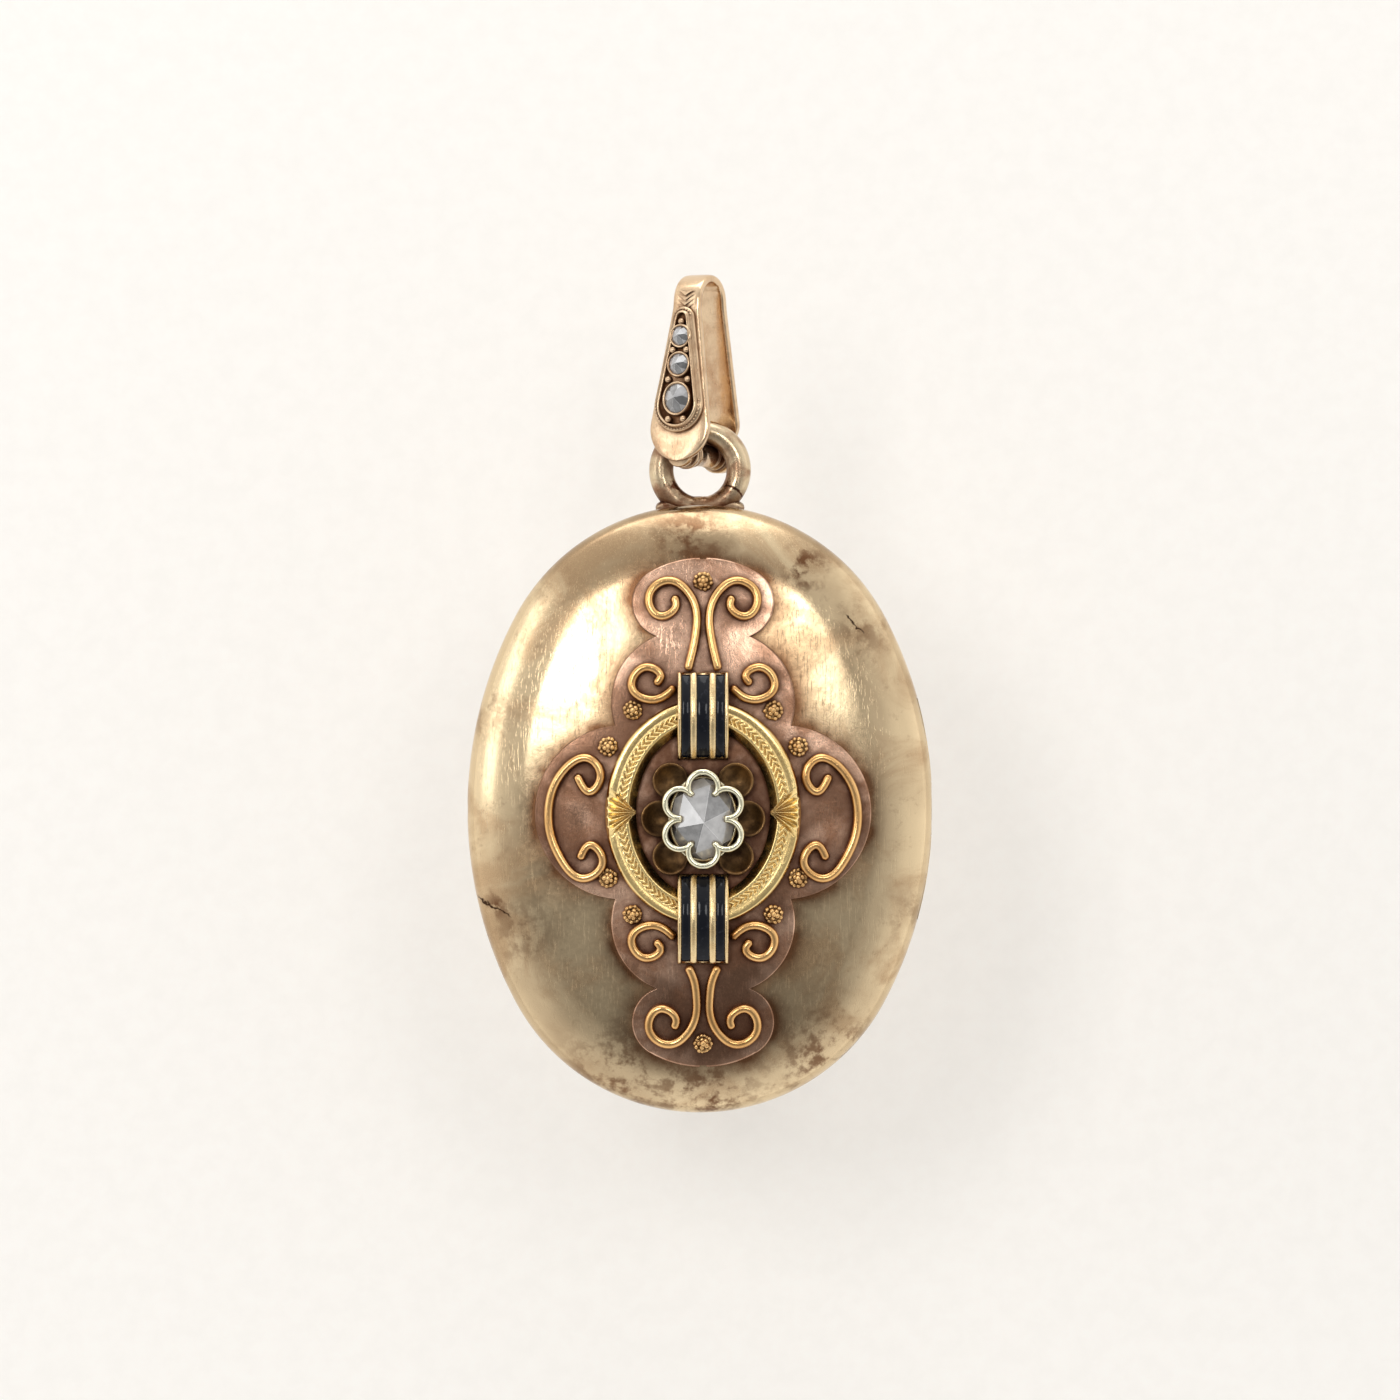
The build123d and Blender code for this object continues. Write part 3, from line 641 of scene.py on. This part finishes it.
# ------------ base plate
def base_plate():
    right = plate_side()
    tangent = np.gradient(right, axis=0)
    outward = np.stack([-tangent[:, 1], tangent[:, 0]], 1)
    outward /= np.linalg.norm(outward, axis=1)[:, None]
    outward *= np.where((outward * right).sum(1) > 0, 1, -1)[:, None]
    outward[np.abs(right[:, 1]) < 15.5] = (1.0, 0.0)  # straight across, but for the two ends
    soup, bevel, sunk = Soup(), 0.11, PLATE_T + 0.05
    rim = right - outward * bevel
    rows = []
    for x, y in rim:
        xs = x * np.sin(np.linspace(-math.pi / 2, math.pi / 2, 41))
        rows.append(on_plate(xs, np.full_like(xs, y)))
    rows = np.stack(rows)
    soup.grid(rows)
    for side, flip in ((1, False), (-1, True)):
        edge = []
        for (px, py), (ox, oy) in zip(rim, outward):
            line = []
            for t in np.linspace(0, math.pi / 2, 5):
                x, y = px + ox * bevel * math.sin(t), py + oy * bevel * math.sin(t)
                line.append(on_plate(side * x, y, -bevel * (1 - math.cos(t))))
            line.append(on_plate(side * x, y, -sunk))
            edge.append(line)
        soup.grid(np.array(edge), flip=flip)
    for row, flip in ((rows[0], False), (rows[-1], True)):
        soup.grid(np.stack([row, row - [0, 0, sunk]]), flip=flip)
    soup.make("plate_sheet", PLATE, "cover", "plate_gold", "base_plate")


base_plate()


# ------------ engraved oval ring
OUT_A, OUT_B, IN_A, IN_B, CREST_H = 6.33, 7.3, 4.33, 5.4, 0.8
STROKE = 0.42


def engraved_ring():
    """Across the ring from outside in (q): flange, beads, band of chevrons, a flat and a slope."""
    q = np.concatenate([[0.0, 0.01, 0.03, 0.06], np.linspace(0.09, 0.90, 42), [0.93, 0.96, 0.985, 1.0]])
    tt, qq = np.meshgrid(full_turn(1500), q, indexing="ij")
    a, b = OUT_A + (IN_A - OUT_A) * qq, OUT_B + (IN_B - OUT_B) * qq
    x, y = a * np.cos(tt), b * np.sin(tt)
    run = tt * 6.1 / STROKE
    flange = 0.60 + 0.06 * np.cos((qq - 0.18) / 0.2 * math.pi / 2)
    chevron = np.abs((run + 3.2 * np.abs(qq - 0.50) * 2) % 1.0 - 0.5) * 2
    band = CREST_H - 0.15 * (1 - chevron) ** 2
    beads = 0.74 + 0.05 * np.abs(np.sin(run * math.pi * 0.8))
    slope = CREST_H - (qq - 0.74) / 0.26 * 0.55
    z = np.select([qq < 0.34, qq < 0.40, qq < 0.66, qq < 0.74], [flange, beads, band, CREST_H], slope)
    for centre in (0.0, math.pi):  # a fan of facets at each side
        xx = np.abs(x) - 4.55
        near = (np.cos(tt - centre) > 0) & (np.abs(y) < 0.18 + (xx + 0.1) * 0.95)
        facet = np.abs((np.arctan2(y, xx + 0.12) / 0.33) % 1.0 - 0.5) * 2
        z = np.where(near, 0.60 + 0.26 * facet, z)
    z = np.where(qq < 0.085, np.minimum(z, 0.35 + 0.28 * np.sqrt(np.clip(qq / 0.085, 0, 1))), z)
    z = z + 0.012 * np.sin(tt * 9 + 1.3) * np.sin(qq * 7)  # hand-made waviness
    low_out, low_in = on_plate(x[:, 0], y[:, 0], -0.02), on_plate(x[:, -1], y[:, -1], -0.02)
    soup = Soup()
    rows = np.concatenate([low_out[:, None], on_plate(x, y, z), low_in[:, None]], axis=1)
    soup.grid(rows, wrap_u=True, flip=True)
    soup.make("engraved_oval", BRIGHT, "cover", "bright_gold", "engraved_ring")


engraved_ring()


# ------------ scrolls and florets
SCROLL = [(0.60, 10.8), (0.42, 12.0), (0.44, 13.0), (0.95, 14.2), (2.2, 15.0), (3.5, 13.95), (2.75, 12.7),
          (1.75, 13.4), (1.95, 14.05)]
CURL = [(1.8, 8.15), (3.2, 7.3), (4.6, 8.1), (3.6, 9.4), (2.75, 8.8), (3.15, 8.25)]
C_SCROLL = [(8.2, 2.5), (7.3, 1.35), (6.65, 2.25), (7.45, 3.5), (9.1, 2.6), (9.95, 0.6), (9.95, -1.0),
            (9.2, -3.0), (7.7, -4.25), (6.5, -3.05), (7.3, -2.1), (8.0, -3.1)]
SCROLL_WIRE = wire_section(0.6, 0.62)
PETAL_WIRE = wire_section(0.40, 1.16)


def scroll(name, points, sx, sy):
    soup = Soup()
    path = spline([(sx * x + ORN_X, sy * y + ORN_Y) for x, y in points])
    lay_wire(soup, path, SCROLL_WIRE, lambda x, y: float(plate_top(x, y)), 0.22)
    soup.make(f"{name}_wire", WIRE, "cover", "wire_gold", name)


for vert, sy, foot_y in (("top", 1, 9.15), ("bottom", -1, 9.9)):
    for side, sx in (("right", 1), ("left", -1)):
        scroll(f"scroll_{vert}_{side}", [(1.0, foot_y)] + SCROLL, sx, sy)
        scroll(f"curl_{vert}_{side}", CURL, sx, sy)
for side, sx in (("right", 1), ("left", -1)):
    scroll(f"c_scroll_{side}", C_SCROLL, sx, 1)


def florets():
    soup = Soup()
    spots = [(0, 14.95), (0, -14.95)] + [(sx * x, sy * y) for x, y in ((4.55, 6.6), (6.15, 4.25))
                                         for sx in (1, -1) for sy in (1, -1)]
    for x, y in spots:
        turn = random.uniform(0, 60)
        foot = on_plate(x, y)
        soup.tube(foot - [0, 0, 0.1], foot + [0, 0, 0.24], 0.6, ((0, 1), (0.8, 1), (1, 0.86)), 28)
        for count, reach, size, up in ((1, 0, 0.2, 0.36), (5, 0.24, 0.17, 0.33), (11, 0.5, 0.15, 0.2)):
            for k in range(count):
                a = math.radians(turn + 360 * k / count + random.uniform(-7, 7))
                r = reach + random.uniform(-0.03, 0.03)
                soup.ball(foot + [r * math.cos(a), r * math.sin(a), up + random.uniform(-0.03, 0.03)],
                          size * random.uniform(0.9, 1.15), 7, 0.9)
    soup.make("granulated_florets", FLORET, "cover", "wire_gold", "florets")


florets()


# ------------ enamel bars
BAR_W, BAR_T, BAR_R = 3.3, 0.45, 4.1
STRIPES = ((0.0, 0.78), (-1.115, 0.55), (1.115, 0.55))  # centre and width of each stripe of enamel
CREST = DOME_TOP + 1.3
BAR_STEPS = 60


def arch_rows(mid, half, xs, radii):
    """Points along the arched bar, half to each side of mid: xs across, with the arch's radius at each."""
    rows = []
    for k in range(BAR_STEPS + 1):
        y = mid - half + 2 * half * k / BAR_STEPS
        floor = float(plate_top(ORN_X, y + ORN_Y)) - 0.02
        z = [CREST - BAR_R + math.sqrt(max(r ** 2 - (y - mid) ** 2, 0.01)) for r in radii]
        rows.append([(x + ORN_X, y + ORN_Y, max(h, floor)) for x, h in zip(xs, z)])
    return np.array(rows)


def enamel_bar(name, low, high):
    mid, half, soft = (low + high) / 2, (high - low) / 2, 0.07
    top = BAR_R + BAR_T
    pit, side = top - 0.16, top - 0.25
    edges = [-BAR_W / 2] + sorted(c + s * w / 2 for c, w in STRIPES for s in (-1, 1)) + [BAR_W / 2]
    last = len(edges) - 2
    xs, radii = [], []
    for k in range(0, len(edges) - 1, 2):  # the gold lines between the stripes
        a, b = edges[k], edges[k + 1]
        xs += [a, a + 0.02, a + soft, (a + b) / 2, b - soft, b - 0.02, b]
        left, right = pit if k else side, pit if k < last else side
        radii += [left, top - 0.05, top, top + 0.015, top, top - 0.05, right]
    upper = arch_rows(mid, half, xs, radii)
    under = arch_rows(mid, half, xs, [BAR_R] * len(xs))
    soup = Soup()
    soup.grid(upper, flip=True)
    soup.grid(under)
    for i, flip in ((0, False), (-1, True)):
        soup.grid(np.stack([upper[:, i], under[:, i]], axis=1), flip=flip)
        soup.grid(np.stack([upper[i], under[i]]), flip=not flip)
    soup.make(f"bar_{name}_mount", LINES, "cover", "bright_gold", f"enamel_bar_{name}")
    glaze = Soup()
    for c, w in STRIPES:
        across = np.linspace(-w / 2, w / 2, 9)
        crown = [top - 0.035 - 0.05 * (2 * abs(x) / w) ** 4 for x in across]
        rows = arch_rows(mid, half - 0.14, across + c, crown)
        rows[[0, -1], :, 2] -= 0.1
        glaze.grid(rows, flip=True)
    glaze.make(f"bar_{name}_glaze", ENAMEL, "cover", "enamel", f"enamel_{name}")


enamel_bar("top", 3.43, 9.06)
enamel_bar("bottom", -9.77, -3.98)


# ------------ gallery, collet and stone
HEART_X, HEART_Y = ORN_X, ORN_Y - 0.4
DECK = DOME_TOP + PLATE_T
CUPS = ((2.85, 0), (-2.85, 0), (2.1, 2.45), (-2.1, 2.45), (2.1, -2.45), (-2.1, -2.45))
# place of each petal, and the way it bulges
PETALS = ((0, 2.08, 90), (0, -2.08, 270), (1.5, 1.0, 25), (1.5, -1.0, -25), (-1.5, 1.0, 155),
          (-1.5, -1.0, 205))
PETAL_R, PETAL_FOOT = 0.96, 5.30
SIDES = 6


def oval(x, y, z, a, b, n):
    """A level ring of n points, placed from the heart of the ornament."""
    ph = full_turn(n)
    return np.column_stack([HEART_X + x + a * np.cos(ph), HEART_Y + y + b * np.sin(ph), np.full(n, z)])


def gallery():
    soup = Soup()
    foot = np.array([HEART_X, HEART_Y, DECK])
    soup.tube(foot, foot + [0, 0, 0.28], 2.25, ((0, 1), (0.8, 1), (1, 0.97)), 60)
    section = ((0, 1.12), (0.3, 1.16), (0.55, 1.18), (0.68, 1.17), (0.72, 1.13), (0.71, 1.07), (0.62, 0.98),
               (0.42, 0.78), (0.27, 0.5), (0.2, 0.25), (0.18, 0.02))
    for x, y in CUPS:
        rows = [oval(x, y, DECK + h, r, r, 48) for h, r in section]
        soup.grid(np.stack(rows), wrap_v=True)
        soup.fan(rows[-1], (HEART_X + x, HEART_Y + y, DECK + section[-1][0]))
    soup.make("dished_cups", DARK, "cover", "dark_gold", "gallery_cups")


def collet():
    soup = Soup()
    section = ((2.3, 2.85, DECK + 0.28), (2.28, 2.83, 5.3), (2.2, 2.75, 5.46), (2.05, 2.6, 5.46),
               (1.98, 2.5, 5.3), (1.98, 2.5, 4.9), (0.1, 0.1, 4.88))
    soup.grid(np.stack([oval(0, 0, z, a, b, 90) for a, b, z in section]), wrap_v=True)
    for x, y, facing in PETALS:
        t = np.radians(facing + np.linspace(-128, 128, 60))
        path = np.column_stack([HEART_X + x + PETAL_R * np.cos(t), HEART_Y + y + PETAL_R * np.sin(t)])
        lay_wire(soup, path, PETAL_WIRE, lambda px, py: PETAL_FOOT, 0.17)
    soup.make("petal_collet", PALE, "cover", "pale_gold", "collet")


def rose_cut(a, b, z0, girdle, mid, top, apex=(0.0, 0.0), table=0.62):
    """A stone with a flat back, a low wall, a row of facets up to height mid and a six-sided point."""
    n = 2 * SIDES
    rim = [(a * math.cos(2 * math.pi * k / n), b * math.sin(2 * math.pi * k / n)) for k in range(n)]
    pts = [(x, y, z) for z in (z0, z0 + girdle) for x, y in rim]
    turns = [2 * math.pi * (k + 0.25) / SIDES for k in range(SIDES)]
    pts += [(table * a * math.cos(t), table * b * math.sin(t), mid) for t in turns]
    pts.append((apex[0], apex[1], top))
    tip, faces = len(pts) - 1, [list(range(n))[::-1]]
    for k in range(n):
        faces.append([k, (k + 1) % n, n + (k + 1) % n, n + k])
    for k in range(SIDES):
        here, nxt = 2 * n + k, 2 * n + (k + 1) % SIDES
        h0, h1, h2 = n + 2 * k, n + 2 * k + 1, n + (2 * k + 2) % n
        faces += [[h0, h1, here], [h1, h2, nxt], [h1, nxt, here], [here, nxt, tip]]
    return np.array(pts), faces


def center_stone():
    pts, faces = rose_cut(2.08, 2.64, 5.47, 0.2, 6.1, 7.15, (0.05, -0.25), 0.86)
    pts += [HEART_X, HEART_Y, 0]
    build("rose_cut_center", pts, faces, STONE, "cover", "center_stone", False)


gallery()
collet()
center_stone()


# ------------ suspension ring
RING_R, RING_TUBE = 2.525, 0.775
FOOT_HALF, FOOT_H = 2.95, 0.62


def suspension_ring():
    soup = Soup()
    ph, th = np.meshgrid(full_turn(160), full_turn(40), indexing="ij")
    wear = 1 - 0.03 * np.cos(ph * 2 + 0.4) * np.cos(th) ** 2
    r = RING_R + RING_TUBE * wear * np.cos(th)
    soup.grid(np.stack([r * np.sin(ph), RING_Y + r * np.cos(ph), RING_Z + RING_TUBE * np.sin(th) * 0.98], -1),
              wrap_u=True, wrap_v=True)
    half = math.asin(FOOT_HALF / (R_END + 0.4))  # the foot that saddles the case's edge
    rows = []
    for a in np.linspace(-half, half, 60):
        fade = math.sqrt(max(0.0, 1 - (abs(a) / half) ** 6))
        line = []
        for t in np.linspace(0, math.pi, 15):
            r = R_END - 0.02 + FOOT_H * math.sin(t) * (0.35 + 0.65 * fade)
            line.append((r * math.sin(a), END_Y + r * math.cos(a), RING_Z + 0.70 * math.cos(t)))
        rows.append(line)
    rows = np.array(rows)
    soup.grid(rows)
    soup.fan(rows[0], rows[0].mean(0), True)
    soup.fan(rows[-1], rows[-1].mean(0))
    soup.make("ring_and_foot", LOOP, "case_back", "pale_gold", "suspension_ring")


suspension_ring()


# ------------ bail
SADDLE_R, BAIL_T = 1.3, 0.55
LUG_IN, LUG_OUT, LEAF_LOW, FRONT_LOW = 2.0, 2.95, -9.3, -10.35
NECK_Y, NECK_HALF = -0.4, 1.0
FRONT_END_R, BACK_END_R = 2.2, 1.5
TIP = 2.2  # the strap is drawn in finer steps this near its ends
LEAN = math.atan2(LUG_OUT - BAIL_T - SADDLE_R, -LEAF_LOW)


def leaf_half_width(v, low_r, low_y):
    """Half width of the strap at height v: constant over the saddle, spreading to a round end."""
    if v > NECK_Y:
        return NECK_HALF
    tilt = math.asin((low_r - NECK_HALF) / (NECK_Y - low_y))
    tangent_y = low_y + low_r * math.sin(tilt)
    if v > tangent_y:
        return NECK_HALF + (low_r * math.cos(tilt) - NECK_HALF) * (NECK_Y - v) / (NECK_Y - tangent_y)
    return math.sqrt(max(low_r ** 2 - (v - low_y) ** 2, 0.0004))


def strap_point(s, offset):
    """A point of the strap's side view, s along it from the saddle's top (front positive)."""
    sign = 1 if s >= 0 else -1
    s, r = abs(s), SADDLE_R + BAIL_T / 2
    bend = r * (math.pi / 2 - LEAN)
    if s < bend:
        return sign * (r + offset) * math.sin(s / r), (r + offset) * math.cos(s / r)
    run, a = s - bend, math.pi / 2 - LEAN
    w, v = r * math.sin(a) + run * math.sin(LEAN), r * math.cos(a) - run * math.cos(LEAN)
    return sign * (w + offset * math.cos(LEAN)), v + offset * math.sin(LEAN)


def bail_loop():
    soup = Soup()
    bend = (SADDLE_R + BAIL_T / 2) * (math.pi / 2 - LEAN)
    back, front = (bend + (0.2 - low) / math.cos(LEAN) for low in (LEAF_LOW, FRONT_LOW))
    ease = (1 - np.cos(np.linspace(0, math.pi / 2, 40))) * TIP
    middle = np.linspace(TIP - back, front - TIP, 110)[1:-1]
    section = []
    for t in full_turn(32):
        c, s = math.cos(t), math.sin(t)
        section.append((math.copysign(abs(c) ** 0.35, c), math.copysign(abs(s) ** 0.55, s)))
    rows = []
    for s in np.concatenate([ease - back, middle, (front - ease)[::-1]]):
        _, v = strap_point(s, 0)
        end_r, low = (FRONT_END_R, FRONT_LOW) if s > 0 else (BACK_END_R, LEAF_LOW)
        half = leaf_half_width(v, end_r, low + end_r)
        row = []
        for across, off in section:
            w, up = strap_point(s, off * BAIL_T / 2)
            row.append((across * half, SADDLE_Y + up, RING_Z + w))
        rows.append(row)
    soup.grid(np.array(rows), wrap_v=True)
    for s, lug_r, lug_out, web_out in ((1, 0.85, LUG_OUT - 0.1, 2.7), (-1, 1.15, LUG_OUT, 2.92)):
        a, b = (0, PIN_Y, RING_Z + s * LUG_IN), (0, PIN_Y, RING_Z + s * lug_out)
        soup.tube(a, b, lug_r, ((0, 0.9), (0.08, 1), (0.9, 1), (1, 0.9)), 48)
        z0, z1 = sorted((RING_Z + s * 2.35, RING_Z + s * web_out))  # a web joins the lug to its leaf
        corners = [(x, y, z) for y in (PIN_Y, SADDLE_Y + LEAF_LOW + 0.9) for x, z in
                   ((-0.8, z0), (0.8, z0), (0.8, z1), (-0.8, z1))]
        soup.add(corners, [[0, 1, 5, 4], [1, 2, 6, 5], [2, 3, 7, 6], [3, 0, 4, 7]])
    soup.make("bent_strap", BAIL, "bail", "bail_gold", "bail_loop")


def leaf_point(x, y, up):
    """From the front leaf's own face (x across, y down from the saddle, up off the metal) to the bench."""
    z0 = SADDLE_R + BAIL_T + up
    return (x, SADDLE_Y + y * math.cos(LEAN) + z0 * math.sin(LEAN),
            RING_Z + z0 * math.cos(LEAN) - y * math.sin(LEAN))


# places down the front leaf, with half widths and heights of the stones and half gaps of the grains
SEATS = (("small", -2.5, 0.66, 0.66), ("medium", -4.35, 0.72, 0.72), ("large", -6.6, 0.9, 1.0))
GRAINS = ((-1.55, 0.0), (-3.42, 0.5), (-5.35, 0.72), (-7.95, 0.55))
CHANNEL_TOP, CHANNEL_LOW, BEADS = -1.3, LEAF_LOW + 2.3, 34


def pear(low_r, low_y, top_r, n=90):
    """Outline round two circles, the lower one larger."""
    tilt = math.asin((low_r - top_r) / (CHANNEL_TOP - low_y))
    low, top = np.linspace(tilt, -math.pi - tilt, n), np.linspace(math.pi - tilt, tilt, n // 3)
    pts = [(low_r * math.cos(a), low_y + low_r * math.sin(a)) for a in low]
    return pts + [(top_r * math.cos(a), CHANNEL_TOP + top_r * math.sin(a)) for a in top]


def bezel():
    soup = Soup()
    steps = ((1.78, 0.78, -0.05), (1.78, 0.78, 0.2), (1.72, 0.72, 0.28), (1.50, 0.52, 0.30),
             (1.47, 0.49, 0.42), (1.40, 0.42, 0.50), (1.34, 0.36, 0.50), (1.29, 0.31, 0.42),
             (1.26, 0.28, 0.10))
    rows = [[leaf_point(x, y, up) for x, y in pear(low_r, CHANNEL_LOW, top_r)] for low_r, top_r, up in steps]
    rows.append([(0, y, z) for x, y, z in rows[-1]])
    soup.grid(np.array(rows), wrap_v=True, flip=True)
    for name, y, a, b in SEATS:
        rings = []
        for grow, up in ((0.15, 0.06), (0.13, 0.48), (0.08, 0.54), (0.02, 0.53), (-0.04, 0.46)):
            rings.append([leaf_point((a + grow) * math.cos(p), y + (b + grow) * math.sin(p), up)
                          for p in full_turn(48)])
        soup.grid(np.array(rings), wrap_v=True)
    outline = pear(1.61, CHANNEL_LOW, 0.62, 75)
    for k in range(BEADS):
        x, y = outline[int(k * len(outline) / BEADS)]
        soup.ball(leaf_point(x, y, 0.27), 0.085, 6)
    for sx in (1, -1):  # raised darts above the stones
        for k in range(4):
            y0 = -0.75 + 0.32 * k
            corners = [leaf_point(sx * x, y, up) for x, y, up in
                       ((0.0, y0, 0.12), (0.62, y0 + 0.42, 0.02), (0.0, y0 + 0.26, 0.02))]
            soup.add(corners, [[0, 1, 2] if sx < 0 else [0, 2, 1]])
    soup.make("stone_channel", BAIL, "bail", "bail_gold", "bail_bezel")


def bail_stones():
    for name, y, a, b in SEATS:
        pts, faces = rose_cut(a, b, 0.2, 0.22, 0.66, 0.92)
        placed = [leaf_point(px, y + py, up) for px, py, up in pts]
        build(f"bail_rose_cut_{name}", placed, faces, ICE, "bail", f"bail_stone_{name}", False)


def bail_grains():
    soup = Soup()
    for y, gap in GRAINS:
        for sx in ((1, -1) if gap else (0,)):
            soup.ball(leaf_point(sx * gap, y, 0.36), 0.25, 9)
    soup.make("raised_grains", BAIL, "bail", "bail_gold", "bail_grains")


def bail_hardware():
    sleeve, half = Soup(), 1.95
    rib = [(0.0, 0.88), (0.015, 0.96), (0.09, 0.96), (0.105, 0.78), (0.135, 0.76), (0.15, 0.84), (0.18, 0.84),
           (0.20, 0.78), (0.215, 0.84), (0.25, 0.84), (0.265, 0.75)]
    outline = rib + [(1 - s, r) for s, r in rib[::-1]]
    sleeve.tube((0, PIN_Y, RING_Z - half), (0, PIN_Y, RING_Z + half), 1.0, outline, 48)
    sleeve.make("ribbed_sleeve", BAIL, "bail_sleeve", "bail_gold", "bail_sleeve")
    rivet = Soup()
    head = [(0.0, 0.35), (0.006, 0.8), (0.02, 1.0), (0.037, 1.0), (0.038, 0.66), (1.0, 0.66)]
    rivet.tube((0, PIN_Y, RING_Z - LUG_OUT - 0.22), (0, PIN_Y, RING_Z + LUG_OUT - 0.15), 0.6, head, 36)
    rivet.make("rivet", BAIL, "bail", "bail_gold", "bail_pin")


bail_loop()
bezel()
bail_stones()
bail_grains()
bail_hardware()


# ------------ inside and hinge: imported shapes, finished
FINISH = ((INNER, ("snap_rim", "front_tray", "back_tray", "front_frame", "back_frame")),
          (CARD, ("front_card", "back_card")), (GLASS, ("front_glass", "back_glass")),
          (HINGE, ("hinge_knuckle_front", "hinge_knuckles_back", "hinge_pin")))
for material, names in FINISH:
    for name in names:
        for place in nodes[name].material_slots:
            place.material = material


# ------------ stage, light and camera
def paper_material():
    """Off-white paper that is only there from its front."""
    n = Nodes("paper")
    fibre = n.ramp(n.noise(1.5, 5.0, 0.6), 0.3, 0.7)
    n.feed("Base Color", n.mix(fibre, (0.89, 0.87, 0.84), (0.92, 0.90, 0.87)))
    n.feed("Roughness", 0.9)
    n.feed("Emission Color", (1.0, 0.975, 0.94, 1.0))
    n.feed("Emission Strength", 0.09)
    blend = n.new("MixShader")
    n.link(n.new("NewGeometry").outputs["Backfacing"], blend.inputs[0])
    n.link(n.shader.outputs[0], blend.inputs[1])
    n.link(n.new("BsdfTransparent").outputs[0], blend.inputs[2])
    n.link(blend.outputs[0], n.tree.nodes["Material Output"].inputs["Surface"])
    return n.owner


def plane(name, centre, size, normal, material):
    bpy.ops.mesh.primitive_plane_add(size=size, location=centre)
    obj = bpy.context.object
    obj.name = name
    obj.rotation_euler = Vector(normal).to_track_quat("Z", "Y").to_euler()
    obj.data.materials.append(material)


WALL_Y = 0.027  # metres behind the locket, past the reach of every pose
plane("backdrop", (0, WALL_Y, -0.026), 1.2, (0, -1, 0), paper_material())


def softbox(name, place, target, size, power, colour=(1, 1, 1)):
    lamp = bpy.data.lights.new(name, "AREA")
    lamp.shape = "RECTANGLE"
    lamp.size, lamp.size_y = size
    lamp.energy = power
    lamp.color = colour
    obj = bpy.data.objects.new(name, lamp)
    bpy.context.collection.objects.link(obj)
    obj.location = place
    obj.rotation_euler = (Vector(target) - Vector(place)).to_track_quat("-Z", "Y").to_euler()


AIM = (0, 0, -0.03)
DAYLIGHT = (1.0, 0.99, 0.97)
softbox("upper left", (-0.155, -0.460, 0.085), AIM, (0.12, 0.16), 0.40, DAYLIGHT)
softbox("upper right", (0.105, -0.472, 0.085), AIM, (0.11, 0.14), 0.20, DAYLIGHT)
softbox("top", (-0.05, -0.05, 0.45), AIM, (0.5, 0.3), 0.9)
softbox("far left", (-0.45, -0.25, 0.12), AIM, (0.12, 0.3), 0.16)

# brightness of the room round the camera's axis: (degrees off the axis, upper half, lower half)
ROOM = ((0, 0.30, 0.20), (20, 0.42, 0.22), (38, 0.64, 0.42), (60, 0.84, 0.76), (80, 1.02, 0.95),
        (180, 1.02, 0.95))


def world():
    n = Nodes("studio", bpy.data.worlds, "Background")
    bpy.context.scene.world = n.owner
    split = n.new("SeparateXYZ", Vector=n.places["Generated"]).outputs
    place = n.new("MapRange", Value=split["Y"])  # 0 straight in front, 1 straight behind
    place.inputs["From Min"].default_value = -1.0
    halves = []
    for column in (2, 1):  # the lower half first
        ramp = n.new("ValToRGB", Fac=place.outputs["Result"])
        ramp.color_ramp.interpolation = "EASE"
        stops = ramp.color_ramp.elements
        for row in ROOM:
            at, level = (1 - math.cos(math.radians(row[0]))) / 2, row[column]
            stop = stops.new(at) if 0 < row[0] < 180 else stops[0 if row[0] == 0 else -1]
            stop.position = at
            stop.color = (level, 0.985 * level, 0.96 * level, 1)
        halves.append(ramp.outputs["Color"])
    n.feed("Color", n.mix(n.ramp(split["Z"], -0.35, 0.15), *halves))
    n.feed("Strength", 1.15)


world()

VIEW_MM, VIEW_Y, DISTANCE = 91.3, 7.07, 0.62  # width of the view and its middle in mm, distance in metres
SENSOR = 36.0
cam = bpy.data.cameras.new("camera")
cam.sensor_width = SENSOR
cam.lens = SENSOR * DISTANCE * 1000 / VIEW_MM
cam.clip_start = 0.01
camera = bpy.data.objects.new("camera", cam)
bpy.context.collection.objects.link(camera)
camera.location = (0.0, -DISTANCE, (VIEW_Y - SADDLE_Y) / 1000)
camera.rotation_euler = (math.pi / 2, 0, 0)
scene = bpy.context.scene
scene.camera = camera
scene.view_settings.view_transform = "Standard"
scene.view_settings.exposure = 0.0
